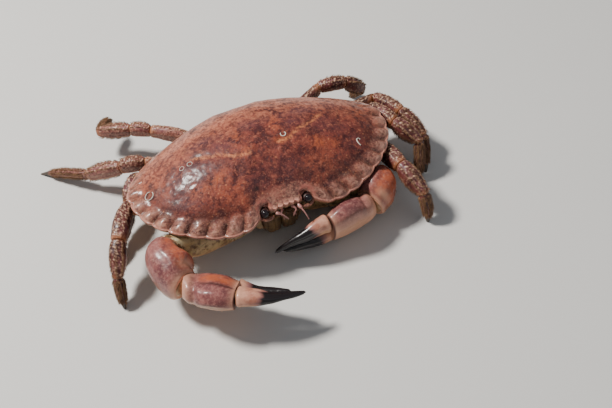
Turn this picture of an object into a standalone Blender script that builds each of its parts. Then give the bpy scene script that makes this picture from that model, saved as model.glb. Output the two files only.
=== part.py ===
import math

import bmesh
import bpy
import numpy as np
from mathutils import Vector

for old in list(bpy.data.objects):
    bpy.data.objects.remove(old, do_unlink=True)

# All sizes below are millimetres. The crab faces -Y and its own right side is at -X.
MM = 0.001
GAP = 0.3

# Shell, as a plan outline with a wavy edge height
SHELL_WIDTH = 160.0
SHELL_HALF = SHELL_WIDTH / 2
FRONT_REACH = 52.2
REAR_REACH = 45.0
REAR_FLAT = 17.0
FRONT_POWER = 2.25
FRONT_RECESS = 7.0
EDGE_HEIGHT = 36.0
PITCH = 0.0436
EDGE_DIP = 4.7
FACE_RISE = 2.9
REAR_DROP = 6.0
DOME_HEIGHT = 23.0
EDGE_THICK = 2.4
LOBE_COUNT = 9
LOBE_START = 17.7
LOBE_PITCH = 10.85
LOBE_DEPTH = 1.2
TOOTH_DEPTH = 1.7
TOOTH_PITCH = 3.45
TEETH_END = 8.6
ORBIT_X = 13.1
ORBIT_DEPTH = 4.2
ORBIT_HALF = 3.4
SHELL_FLOOR = 18.5

# Underbody: corner points of the right half of the breast plate, front to rear
BREAST_CORNERS = ((13.0, -31.0), (27.0, -13.0), (28.5, 0.0), (27.5, 12.0), (22.5, 23.0), (14.0, 32.0))
BREAST_TOP = 18.2
BREAST_BOTTOM = 3.3
SOCKET_HEIGHT = 10.8

# Joint points of every leg: knee, wrist, ankle, tip (x outward from the middle line). A fifth point
# in front of them is a hip of its own, where the leg leaves the body in another direction.
LIMBS = {
    "leg_right_1": (1, ((81.0, 2.0, 28.0), (94.0, -20.0, 28.0), (101.2, -35.8, 17.0), (102.9, -44.6, 0.0))),
    "leg_right_2": (2, ((69.6, 25.0, 24.0), (78.6, 12.5, 17.5), (90.0, -2.5, 8.5), (100.0, -17.0, 0.0))),
    "leg_right_3": (3, ((61.0, 34.0, 24.5), (74.7, 38.6, 23.0), (94.0, 52.0, 12.0), (119.3, 77.0, 0.0))),
    "leg_right_4": (
        4,
        ((25.0, 43.5, 18.5), (48.5, 60.5, 22.0), (59.5, 66.9, 22.0), (77.0, 77.0, 19.0), (67.0, 87.5, 15.5)),
    ),
    "leg_left_1": (1, ((71.6, -15.5, 23.5), (75.7, -38.5, 28.0), (81.0, -57.9, 20.0), (81.5, -63.0, 0.0))),
    "leg_left_2": (2, ((81.6, 14.0, 25.0), (86.9, -7.0, 30.0), (96.0, -22.0, 23.0), (90.6, -32.0, 0.0))),
    "leg_left_3": (3, ((89.0, 25.5, 20.5), (96.0, 2.8, 26.5), (103.5, -13.0, 17.0), (98.5, -27.2, 0.0))),
    "leg_left_4": (4, ((60.0, 46.8, 24.0), (76.4, 43.0, 25.0), (87.8, 42.5, 15.0), (84.0, 53.0, 0.0))),
}

# Thickness by height of the leg sections at: socket, hip, thigh, knee, shin, wrist, hand, ankle, toe
LEG_SIZES = {
    1: (
        (10.0, 11.0), (8.5, 10.5), (9.5, 14.5), (7.0, 9.0),
        (11.0, 13.0), (8.0, 9.5), (10.0, 12.0), (5.5, 7.0),
    ),
    2: ((9.5, 11.0), (7.5, 10.0), (7.6, 13.5), (6.5, 9.0), (9.0, 12.0), (7.5, 9.0), (9.0, 11.0), (5.0, 6.5)),
    3: ((9.0, 10.5), (7.5, 9.5), (7.6, 12.5), (6.5, 8.0), (8.5, 10.5), (6.5, 8.0), (8.5, 10.0), (5.0, 6.5)),
    4: ((8.0, 9.5), (7.0, 8.5), (7.5, 10.5), (6.0, 7.5), (8.0, 9.5), (6.0, 7.5), (8.0, 9.0), (5.2, 6.3)),
}
TOE_MIDDLE = 0.9
TOE_TIP = 1.7

# Claw arms: side, knee, wrist, finger tip, the way the finger edge faces, outward swell of the carpus
CLAWS = {
    "claw_right": (
        -1, (69.8, -35.5, 27.5), (69.3, -63.4, 26.2), (11.0, -96.2, 25.5), (0.40, -0.763, 0.506), 1.0,
    ),
    "claw_left": (
        1, (62.0, -33.0, 19.5), (50.5, -48.0, 16.5), (-13.0, -54.5, 13.0), (0.0, -0.30, 0.95), 0.3,
    ),
}
# Thickness by height of the arm sections at: socket, hip, thigh, knee
ARM_SIZES = ((15.0, 14.0), (12.0, 13.0), (15.0, 18.0), (12.5, 14.0))
# Carpus: share of its length, width, height, and how far its middle lies outward and upward
CARPUS_ROWS = (
    (0.0, 12.5, 14.0, 0.0, 0.0), (0.05, 14.5, 17.0, 1.6, 0.5), (0.15, 17.0, 20.5, 3.8, 1.0),
    (0.35, 20.5, 25.0, 5.4, 1.2), (0.6, 24.5, 27.0, 2.9, 0.6), (0.82, 19.0, 24.6, 3.0, -0.5),
    (0.94, 18.6, 19.0, 1.3, -0.4), (1.0, 17.5, 14.5, 0.0, 0.0),
)
# Palm, fixed finger and moving finger: distance from the wrist (for the moving finger the share of its
# length), middle and height towards the finger edge, and thickness and middle across
PALM_ROWS = (
    (5.5, 1.2, 22.4, 14.6, 1.6), (10.0, 1.9, 27.0, 15.4, 1.8), (16.0, 2.6, 29.1, 16.3, 1.65),
    (23.0, 3.1, 28.2, 15.5, 2.15), (29.0, 3.0, 24.9, 12.6, 3.0),
)
POLLEX_ROWS = (
    (30.0, -4.6, 9.6, 10.4, 2.2), (34.0, -4.3, 9.0, 9.0, 3.0), (38.0, -4.0, 8.2, 7.4, 3.4),
    (46.0, -2.9, 6.6, 5.6, 2.9), (54.0, -1.9, 4.2, 4.0, 1.7), (59.0, -1.2, 2.0, 2.1, 1.0),
)
FINGER_ROWS = (
    (0.0, 8.4, 13.4, 10.2, 1.4), (0.12, 8.6, 13.6, 9.4, 1.3), (0.3, 8.2, 12.0, 8.3, 1.35),
    (0.5, 6.9, 10.0, 5.8, 1.6), (0.7, 4.9, 7.6, 3.8, 0.9), (0.88, 2.3, 4.6, 2.8, 0.4),
    (1.0, 0.0, 1.8, 1.6, 0.1),
)
PALM_LENGTH = 30.0
WRIST_SIZE = (14.5, 17.5)

# Feelers: foot of both, and how far each lash reaches from it, left (+1) and right (-1)
FEELER_FOOT = (6.6, -46.3, 36.6)
LASH_REACH = {1.0: (3.0, -7.5, -6.0), -1.0: (5.5, -3.8, -4.5)}

SIDES = 12


def add_object(name, verts, faces, material):
    mesh = bpy.data.meshes.new(name)
    mesh.from_pydata([tuple(float(c) * MM for c in v) for v in verts], [], faces)
    shape = bmesh.new()
    shape.from_mesh(mesh)
    bmesh.ops.recalc_face_normals(shape, faces=shape.faces)
    shape.to_mesh(mesh)
    shape.free()
    obj = bpy.data.objects.new(name, mesh)
    mesh.materials.append(material)
    crab.objects.link(obj)
    return obj


def paint(name, color, roughness):
    material = bpy.data.materials.new(name)
    material.use_nodes = True
    surface = material.node_tree.nodes["Principled BSDF"]
    surface.inputs["Base Color"].default_value = (*color, 1.0)
    surface.inputs["Roughness"].default_value = roughness
    return material


def unit(v):
    v = np.asarray(v, dtype=float)
    return v / np.linalg.norm(v)


def stitch(rings):
    """Faces between rings of vertex numbers; a ring may have half the count of the one before it."""
    faces = []
    for outer, inner in zip(rings, rings[1:]):
        count = len(outer)
        if len(inner) == count:
            for i in range(count):
                j = (i + 1) % count
                faces.append((outer[i], outer[j], inner[j], inner[i]))
        else:
            for i in range(len(inner)):
                a, b, c = outer[2 * i], outer[(2 * i + 1) % count], outer[(2 * i + 2) % count]
                d, e = inner[i], inner[(i + 1) % len(inner)]
                faces.append((a, b, d))
                faces.append((b, e, d))
                faces.append((b, c, e))
    return faces


# Shell outline

def edge_half():
    """Arc lengths and plan points of the plain edge, front middle to rear middle on the +X side."""
    t = np.linspace(0.0, math.pi / 2, 400)
    x = SHELL_HALF * np.sin(t) ** (2 / FRONT_POWER)
    y = -FRONT_REACH * np.cos(t) ** (2 / FRONT_POWER)
    front = np.column_stack([x, y])
    s = np.linspace(0.0, 1.0, 200)[1:, None]
    p0 = np.array([SHELL_HALF, 0.0])
    p1 = np.array([SHELL_HALF, 14.5])
    p2 = np.array([54.0, 0.8 * REAR_REACH])
    p3 = np.array([REAR_FLAT, REAR_REACH])
    rear = (1 - s) ** 3 * p0 + 3 * (1 - s) ** 2 * s * p1 + 3 * (1 - s) * s**2 * p2 + s**3 * p3
    flat = np.linspace(0.0, 1.0, 40)[1:, None] * (np.array([0.0, REAR_REACH]) - p3) + p3
    points = np.vstack([front, rear, flat])
    steps = np.linalg.norm(np.diff(points, axis=0), axis=1)
    return np.concatenate([[0.0], np.cumsum(steps)]), points


EDGE_ARC, EDGE_POINTS = edge_half()


def edge_sample(arc):
    x = np.interp(arc, EDGE_ARC, EDGE_POINTS[:, 0])
    y = np.interp(arc, EDGE_ARC, EDGE_POINTS[:, 1])
    return x, y


def lobe_wave(arc):
    """0 in the notches between the edge lobes, 1 on the crests, with the plain rear at 0.8."""
    last = LOBE_START + LOBE_COUNT * LOBE_PITCH
    if arc < LOBE_START or arc > last:
        return 0.8
    return abs(math.sin(math.pi * (arc - LOBE_START) / LOBE_PITCH)) ** 0.55


def edge_point(arc):
    """Plan point, outward normal and edge height at an arc length on the +X side."""
    x, y = edge_sample(arc)
    x1, y1 = edge_sample(min(arc + 0.5, EDGE_ARC[-1]))
    x0, y0 = edge_sample(max(arc - 0.5, 0.0))
    tangent = unit((x1 - x0, y1 - y0))
    normal = np.array([-tangent[1], tangent[0]]) * -1.0
    near = math.exp(-((x / (0.13 * SHELL_WIDTH)) ** 4)) if y < 0 else 0.0
    y = y + FRONT_RECESS * near
    z = EDGE_HEIGHT - PITCH * y
    if y < 0:
        z -= EDGE_DIP * math.exp(-(((x / SHELL_WIDTH - 0.236) / 0.13) ** 2))
        z += FACE_RISE * math.exp(-((x / (0.12 * SHELL_WIDTH)) ** 4))
    else:
        z -= REAR_DROP * (y / REAR_REACH) ** 1.5
    return np.array([x, y]), normal, z


def edge_offset(arc):
    """How far the edge stands out of the plain outline: lobes, frontal teeth and eye notches."""
    x, y = edge_sample(arc)
    if y > -20 and arc > 60:
        return LOBE_DEPTH * (lobe_wave(arc) - 0.6)
    if x < TEETH_END:
        return TOOTH_DEPTH * (abs(math.cos(math.pi * x / TOOTH_PITCH)) ** 0.8 - 0.4)
    if arc < LOBE_START:
        notch = max(0.0, 1.0 - ((x - ORBIT_X) / ORBIT_HALF) ** 2)
        return -0.4 * TOOTH_DEPTH - ORBIT_DEPTH * notch**0.6
    return LOBE_DEPTH * (lobe_wave(arc) - 0.6)


def arc_marks():
    """Arc lengths of the edge vertices on one side, closest together along the lobes."""
    lobes_end = LOBE_START + LOBE_COUNT * LOBE_PITCH
    marks = list(np.linspace(0.0, LOBE_START, 21)[:-1])
    marks += list(np.linspace(LOBE_START, lobes_end, LOBE_COUNT * 6 + 1)[:-1])
    marks += list(np.linspace(lobes_end, EDGE_ARC[-1], 23))
    return marks


def dome_shape(rho, y):
    power = 1.18 - 0.34 * min(max((y + 10.0) / (REAR_REACH + 10.0), 0.0), 1.0)
    return (1.0 - rho**2.3) ** power


def shell_top(mark, sign, rho):
    plan, normal, z = edge_point(mark)
    fade = math.exp(-(((1.0 - rho) / 0.085) ** 2))
    spread = plan * rho + normal * edge_offset(mark) * fade
    base = EDGE_HEIGHT - PITCH * spread[1]
    lift = (z - (EDGE_HEIGHT - PITCH * plan[1])) * rho**4
    groove = 0.9 * (lobe_wave(mark) - 0.8) * math.exp(-(((1.0 - rho) / 0.07) ** 2)) * (rho < 0.999)
    return (sign * spread[0], spread[1], base + lift + groove + DOME_HEIGHT * dome_shape(rho, spread[1]))


def breast_radius(x, y):
    """Distance from the middle to the breast plate outline in the direction of (x, y)."""
    corners = list(BREAST_CORNERS)
    loop = [(0.0, corners[0][1])] + corners + [(0.0, corners[-1][1])]
    direction = unit((abs(x), y))
    best = 1e9
    for (ax, ay), (bx, by) in zip(loop, loop[1:]):
        ex, ey = bx - ax, by - ay
        cross = direction[0] * ey - direction[1] * ex
        if abs(cross) < 1e-9:
            continue
        distance = (ax * ey - ay * ex) / cross
        along = (ax * direction[1] - ay * direction[0]) / cross
        if distance > 0 and -1e-6 <= along <= 1 + 1e-6:
            best = min(best, distance)
    return best


def shell_under(mark, sign, s):
    plan, normal, z = edge_point(mark)
    face = math.exp(-((plan[0] / 20.0) ** 4)) if plan[1] < 0 else 0.0
    thick = EDGE_THICK + 2.8 * face
    outer = plan + normal * (edge_offset(mark) * math.exp(-((s / 0.12) ** 2)) - 0.5)
    length = np.linalg.norm(plan)
    inner = plan / length * breast_radius(plan[0], plan[1])
    spot = outer * (1 - s) + inner * s
    height = (z - thick) * (1 - s**1.9) + SHELL_FLOOR * s**1.9
    return (sign * spot[0], spot[1], height)


def shell_ring(marks, kind, value):
    """A closed ring of points: the +X side from front to rear, then the -X side back to the front."""
    place = shell_top if kind == "top" else shell_under
    right = [place(m, 1.0, value) for m in marks]
    left = [place(m, -1.0, value) for m in marks[1:-1]]
    return right + left[::-1]


def build_shell(name, material):
    marks = arc_marks()
    verts = []
    rings = []

    def add_ring(step, kind, value):
        points = shell_ring(marks, kind, value)[::step]
        start = len(verts)
        verts.extend(points)
        rings.append(list(range(start, start + len(points))))

    for rho, step in (
        (0.13, 16), (0.27, 8), (0.40, 8), (0.52, 4), (0.63, 4), (0.73, 4), (0.82, 4), (0.89, 2), (0.935, 2),
        (0.97, 1), (1.0, 1),
    ):
        add_ring(step, "top", rho)
    add_ring(1, "under", 0.0)
    add_ring(2, "under", 0.16)
    add_ring(4, "under", 0.36)
    add_ring(4, "under", 0.58)
    add_ring(8, "under", 0.8)
    add_ring(8, "under", 1.0)
    faces = []
    for a, b in zip(rings, rings[1:]):
        if len(a) < len(b):
            faces.extend(stitch([b, a]))
        else:
            faces.extend(stitch([a, b]))
    crown = len(verts)
    verts.append((0.0, 0.0, EDGE_HEIGHT + DOME_HEIGHT))
    first = rings[0]
    for i in range(len(first)):
        faces.append((first[i], first[(i + 1) % len(first)], crown))
    faces.append(tuple(rings[-1]))
    return add_object(name, verts, faces, material)


# Lofted limbs

def rounded_section(width, height, sides, power=2.4):
    points = []
    for i in range(sides):
        angle = 2 * math.pi * (i + 0.5) / sides
        c, s = math.cos(angle), math.sin(angle)
        u = math.copysign(abs(c) ** (2 / power), c) * width / 2
        v = math.copysign(abs(s) ** (2 / power), s) * height / 2
        points.append((u, v))
    return points


def side_axis(normal, fallback):
    side = np.cross(normal, (0.0, 0.0, 1.0))
    if np.linalg.norm(side) < 0.2:
        side = fallback - normal * float(np.dot(fallback, normal))
    return unit(side)


def loft(name, material, rings):
    """Closed solid through rings of equal count, given as lists of points, with flat ends."""
    verts = [p for ring in rings for p in ring]
    count = len(rings[0])
    loops = [list(range(k * count, (k + 1) * count)) for k in range(len(rings))]
    faces = stitch(loops)
    faces.append(tuple(loops[0][::-1]))
    faces.append(tuple(loops[-1]))
    return add_object(name, verts, faces, material)


def three_way(t, values):
    a, b, c = (1 - t) * (1 - 2 * t), 4 * t * (1 - t), t * (2 * t - 1)
    return values[0] * a + values[1] * b + values[2] * c


def spaced_rows(sizes, count):
    """Rows of share, width and height for a plain limb part, closest together at its ends."""
    rows = []
    for k in range(count):
        t = 0.5 - 0.5 * math.cos(math.pi * k / (count - 1))
        width = three_way(t, [size[0] for size in sizes])
        height = three_way(t, [size[1] for size in sizes])
        rows.append((t, width, height, 0.0, 0.0))
    return rows


def limb_rings(ends, normals, side_ways, rows, bow, gaps):
    """Rings from one joint plane to the next; end rings lie in the joint planes."""
    start = np.asarray(ends[0], dtype=float)
    end = np.asarray(ends[1], dtype=float)
    axis = unit(end - start)
    count = len(rows)
    rings = []
    for k, (t, width, height, aside, above) in enumerate(rows):
        w0, w1 = (1 - t) ** 3, t**3
        normal = unit(normals[0] * w0 + normals[1] * w1 + axis * (1 - w0 - w1))
        side = side_ways[0] * (1 - t) + side_ways[1] * t
        side = unit(side - normal * float(np.dot(side, normal)))
        up = np.cross(side, normal)
        centre = start + (end - start) * t + np.asarray(bow, dtype=float) * math.sin(math.pi * t)
        centre = centre + side * aside + up * above
        ring = []
        for u, v in rounded_section(width, height, SIDES):
            p = centre + side * u + up * v
            lack = gaps[0] + 0.16 * k - float(np.dot(p - start, normals[0]))
            if k == 0 or lack > 0:
                p = p + normals[0] * lack
            lack = gaps[1] + 0.16 * (count - 1 - k) - float(np.dot(end - p, normals[1]))
            if k == count - 1 or lack > 0:
                p = p - normals[1] * lack
            ring.append(p)
        rings.append(ring)
    return rings


def socket(number, sign):
    """Middle and outward normal of a breast plate facet, with the claw arm as number 0."""
    (ax, ay), (bx, by) = BREAST_CORNERS[number], BREAST_CORNERS[number + 1]
    normal = unit((by - ay, ax - bx, 0.0))
    middle = np.array([(ax + bx) / 2, (ay + by) / 2, SOCKET_HEIGHT])
    flip = np.array([sign, 1.0, 1.0])
    return middle * flip, normal * flip


def build_leg(name, material, number, joints):
    sign = 1.0 if "left" in name else -1.0
    flip = np.array([sign, 1.0, 1.0])
    knee, wrist, ankle, tip = [np.array(j) * flip for j in joints[-4:]]
    root, root_normal = socket(number, sign)
    hip = root + unit(root_normal + unit(knee - root)) * 10.5
    if len(joints) == 5:
        hip = np.array(joints[0]) * flip
    chain = [root, hip, knee, wrist, ankle, tip]
    ways = [unit(b - a) for a, b in zip(chain, chain[1:])]
    normals = [root_normal] + [unit(a + b) for a, b in zip(ways, ways[1:])]
    on_floor = tip[2] < 0.01
    normals.append(np.array([0.0, 0.0, -1.0]) if on_floor else ways[-1])
    sides = []
    for n in normals[:-1]:
        sides.append(side_axis(n, sides[-1] if sides else np.array([0.0, 1.0, 0.0])))
    last = sides[-1]
    sides.append(unit(last - normals[-1] * float(np.dot(last, normals[-1]))))
    s = LEG_SIZES[number]
    toe = tuple(size * TOE_MIDDLE for size in s[7])
    plan = {
        "base": (0, (s[0], s[0], s[1]), 3),
        "merus": (1, (s[1], s[2], s[3]), 6),
        "carpus": (2, (s[3], s[4], s[5]), 6),
        "propodus": (3, (s[5], s[6], s[7]), 6),
        "dactyl": (4, (s[7], toe, (TOE_TIP, TOE_TIP)), 6),
    }
    for part, (k, sizes, count) in plan.items():
        way = ways[k]
        up = unit(np.cross(sides[k], way))
        bow = up * (1.2 if part in ("merus", "carpus", "dactyl") else 0.4)
        if up[2] < 0:
            bow = -bow
        gaps = (GAP if part == "base" else GAP / 2, 0.0 if part == "dactyl" else GAP / 2)
        rows = spaced_rows(sizes, count)
        rings = limb_rings(chain[k:k + 2], normals[k:k + 2], sides[k:k + 2], rows, bow, gaps)
        loft(f"{name}_{part}", material, rings)


def build_claw(name, materials, sign, knee, wrist, tip, edge_way, swell):
    flip = np.array([sign, 1.0, 1.0])
    knee, wrist, tip = [np.array(p) * flip for p in (knee, wrist, tip)]
    root, root_normal = socket(0, sign)
    hip = root + unit(root_normal + unit(knee - root)) * 13.0
    axis = unit(tip - wrist)
    edge = np.array(edge_way) * flip
    edge = unit(edge - axis * float(np.dot(edge, axis)))
    flat = np.cross(axis, edge)
    chain = [root, hip, knee, wrist]
    ways = [unit(b - a) for a, b in zip(chain, chain[1:])] + [axis]
    normals = [root_normal] + [unit(a + b) for a, b in zip(ways, ways[1:])]
    sides = []
    for n in normals:
        sides.append(side_axis(n, np.array([0.0, 1.0, 0.0])))
    carpus_rows = [(t, wide, high, -sign * swell * out, above) for t, wide, high, out, above in CARPUS_ROWS]
    plan = (
        ("base", 0, spaced_rows((ARM_SIZES[0], ARM_SIZES[0], ARM_SIZES[1]), 4), 0.0),
        ("merus", 1, spaced_rows(ARM_SIZES[1:4], 7), -1.2),
        ("carpus", 2, carpus_rows, 0.0),
    )
    for part, k, rows, sag in plan:
        gaps = (GAP if k == 0 else GAP / 2, GAP / 2)
        rings = limb_rings(
            chain[k:k + 2], normals[k:k + 2], sides[k:k + 2], rows, (0.0, 0.0, sag), gaps,
        )
        loft(f"{name}_{part}", materials[0], rings)

    # Palm with its fixed finger, in the plane of the axis and the finger edge
    def ring_at(distance, middle, high, thick, aside):
        centre = wrist + axis * distance + edge * middle + flat * (aside * -sign)
        return [centre + flat * u + edge * v for u, v in rounded_section(thick, high, SIDES, 2.3)]

    start = []
    for u, v in rounded_section(*WRIST_SIZE, SIDES, 2.3):
        p = wrist + flat * u + edge * v
        p = p + normals[3] * (GAP / 2 - float(np.dot(p - wrist, normals[3])))
        start.append(p)
    palm = [start] + [ring_at(*row) for row in PALM_ROWS + POLLEX_ROWS]
    for number, ring in enumerate(palm[1:4], start=1):
        for i, p in enumerate(ring):
            lack = GAP / 2 + 0.3 * number - float(np.dot(p - wrist, normals[3]))
            if lack > 0:
                ring[i] = p + normals[3] * lack
    loft(f"{name}_palm", materials[0], palm)

    first = PALM_LENGTH + 0.35
    reach = float(np.linalg.norm(tip - wrist)) - first
    finger = [ring_at(first + reach * row[0], *row[1:]) for row in FINGER_ROWS]
    loft(f"{name}_finger", materials[1], finger)


# Body parts

def mirrored_loop():
    corners = list(BREAST_CORNERS)
    return corners + [(-x, y) for x, y in corners[::-1]]


def build_breast(name, material):
    loop = mirrored_loop()
    rings = []
    for z, scale in ((BREAST_BOTTOM, 0.80), (7.0, 1.0), (BREAST_TOP, 1.0)):
        rings.append([(x * scale, y * scale, z) for x, y in loop])
    return loft(name, material, rings)


def build_abdomen(name, material):
    """Tail plate folded under the body: down the rear of the breast plate, then forward along the floor."""
    thick = 3.0
    back = BREAST_CORNERS[-1][1] + GAP + thick / 2
    path = (
        (back + 10.0, 23.0, 12.0, 0.75), (back + 5.5, 19.6, 15.0, 0.85), (back + 1.7, 14.6, 18.0, 1.2),
        (back + 0.2, 9.0, 22.0, 1.5), (back - 0.7, 5.0, 25.0, 1.05), (back - 3.6, 2.1, 27.0, 0.4),
        (25.0, 1.5, 29.0, 0.0), (17.0, 1.5, 31.0, 0.0), (9.0, 1.5, 29.0, 0.0), (2.0, 1.5, 24.0, 0.0),
        (-4.0, 1.5, 16.0, 0.0), (-9.0, 1.5, 6.0, 0.0),
    )
    rings = []
    for y, z, width, angle in path:
        ring = []
        half = width / 2
        bevel = 1.2
        for u, v in (
            (-half, -thick / 2), (-half, thick / 2 - bevel), (-half + bevel, thick / 2),
            (half - bevel, thick / 2), (half, thick / 2 - bevel), (half, -thick / 2),
        ):
            ring.append((u, y + v * -math.sin(angle), z + v * math.cos(angle)))
        rings.append(ring)
    return loft(name, material, rings)


def build_mouth_plate(name, material, sign):
    """Outer mouth leg: a flat plate standing in front of the breast plate."""
    front = BREAST_CORNERS[0][1] - GAP
    rings = []
    for y, z, thick, x0, x1 in (
        (front, 5.5, 3.2, 0.6, 9.0), (front, 11.0, 3.6, 0.3, 11.0), (front, 17.5, 3.6, 0.3, 11.5),
        (front - 3.6, 23.0, 3.4, 0.3, 11.3), (front - 7.6, 28.0, 3.0, 0.3, 10.6),
        (front - 10.0, 31.0, 2.4, 0.6, 8.0),
    ):
        ring = []
        middle, half = (x0 + x1) / 2, (x1 - x0) / 2
        for u, v in ((-1, 0), (-1, 0.7), (-0.75, 1), (0.75, 1), (1, 0.7), (1, 0)):
            ring.append((sign * (middle + half * u), y - thick * v, z))
        rings.append(ring)
    return loft(name, material, rings)


def build_eye(name, material, sign):
    """Short stalk out of the eye notch with a ball on its end."""
    start = np.array([sign * ORBIT_X, -42.0, 37.7])
    way = unit((sign * 0.05, -1.0, 0.18))
    side = unit(np.cross(way, (0.0, 0.0, 1.0)))
    up = np.cross(side, way)
    rings = []
    for distance, size in (
        (0.0, 2.6), (1.0, 2.8), (1.8, 3.8), (2.8, 4.8), (4.3, 4.8), (5.4, 3.8), (6.0, 2.2),
    ):
        ring = []
        for u, v in rounded_section(size, size, 12, 2.0):
            ring.append(start + way * distance + side * u + up * v)
        rings.append(ring)
    return loft(name, material, rings)


def lash_way(t, reach):
    return np.array([reach[0] * t, reach[1] * t**0.8, reach[2] * t**1.9])


def build_feeler(name, material, sign):
    """Second antenna, with a stout foot under the front and a thin tapering lash."""
    foot = np.array([sign * FEELER_FOOT[0], *FEELER_FOOT[1:]])
    reach = LASH_REACH[sign]
    rings = []
    count = 12
    for k in range(count):
        t = k / (count - 1)
        centre = foot + lash_way(t, reach)
        way = unit(lash_way(t + 0.02, reach) - lash_way(t, reach)) if k else np.array([0.0, -1.0, 0.0])
        side = unit(np.cross(way, (0.0, 0.0, 1.0)))
        up = np.cross(side, way)
        size = (2.6, 2.5, 2.1, 1.4, 1.1)[k] if k < 5 else 1.1 - 0.5 * (t - 0.36) / 0.64
        rings.append([centre + side * u + up * v for u, v in rounded_section(size, size, 8, 2.0)])
    return loft(name, material, rings)


crab = bpy.data.collections.new("crab")
bpy.context.scene.collection.children.link(crab)

shell_paint = paint("shell", (0.27, 0.10, 0.075), 0.42)
leg_paint = paint("leg", (0.20, 0.075, 0.07), 0.5)
claw_paint = paint("claw", (0.36, 0.15, 0.12), 0.35)
finger_paint = paint("finger", (0.04, 0.03, 0.03), 0.3)
belly_paint = paint("belly", (0.62, 0.50, 0.30), 0.5)
mouth_paint = paint("mouthpart", (0.45, 0.30, 0.16), 0.5)
eye_paint = paint("eye", (0.03, 0.03, 0.03), 0.1)
feeler_paint = paint("feeler", (0.5, 0.3, 0.25), 0.5)

build_shell("carapace", shell_paint)
build_breast("sternum", belly_paint)
build_abdomen("abdomen", belly_paint)
for side_name, side_sign in (("left", 1.0), ("right", -1.0)):
    build_mouth_plate(f"maxilliped_{side_name}", mouth_paint, side_sign)
    build_eye(f"eye_{side_name}", eye_paint, side_sign)
    build_feeler(f"antenna_{side_name}", feeler_paint, side_sign)
for limb_name, (limb_number, limb_joints) in LIMBS.items():
    build_leg(limb_name, leg_paint, limb_number, limb_joints)
for claw_name, claw_values in CLAWS.items():
    build_claw(claw_name, (claw_paint, finger_paint), *claw_values)

# The middle of the bounding box goes over the origin, with the floor at zero
low = np.full(3, 1e9)
high = np.full(3, -1e9)
for obj in crab.objects:
    for vertex in obj.data.vertices:
        low = np.minimum(low, vertex.co)
        high = np.maximum(high, vertex.co)
shift = Vector((-(low[0] + high[0]) / 2, -(low[1] + high[1]) / 2, -low[2]))
for obj in crab.objects:
    for vertex in obj.data.vertices:
        vertex.co = vertex.co + shift
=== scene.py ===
import itertools
import math

import bmesh
import bpy
import numpy as np
from mathutils import Matrix, Vector


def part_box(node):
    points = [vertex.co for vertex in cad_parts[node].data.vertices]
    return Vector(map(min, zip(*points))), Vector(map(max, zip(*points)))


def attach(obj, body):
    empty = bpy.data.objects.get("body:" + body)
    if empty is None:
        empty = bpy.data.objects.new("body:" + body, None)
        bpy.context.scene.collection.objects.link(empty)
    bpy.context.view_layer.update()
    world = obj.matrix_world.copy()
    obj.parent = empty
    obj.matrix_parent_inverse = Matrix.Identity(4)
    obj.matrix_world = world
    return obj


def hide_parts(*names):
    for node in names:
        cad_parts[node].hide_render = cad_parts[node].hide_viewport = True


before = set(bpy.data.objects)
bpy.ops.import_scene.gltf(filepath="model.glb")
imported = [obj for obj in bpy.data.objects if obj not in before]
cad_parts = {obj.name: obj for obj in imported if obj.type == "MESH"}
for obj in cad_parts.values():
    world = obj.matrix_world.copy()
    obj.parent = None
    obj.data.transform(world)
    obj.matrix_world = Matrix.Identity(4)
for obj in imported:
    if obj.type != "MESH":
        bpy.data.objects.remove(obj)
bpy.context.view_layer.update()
mm = 0.001

# Shapes are worked out in millimetres with the crab's middle at x = y = 0, facing -Y, its right side at -X
shellLow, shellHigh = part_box("carapace")
breastLow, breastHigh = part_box("sternum")
crabMiddle = np.array([(shellLow.x + shellHigh.x) / 2, (breastLow.y + breastHigh.y) / 2 - 0.0005, 0.0])
print("frame loaded, crab middle", crabMiddle)


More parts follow.
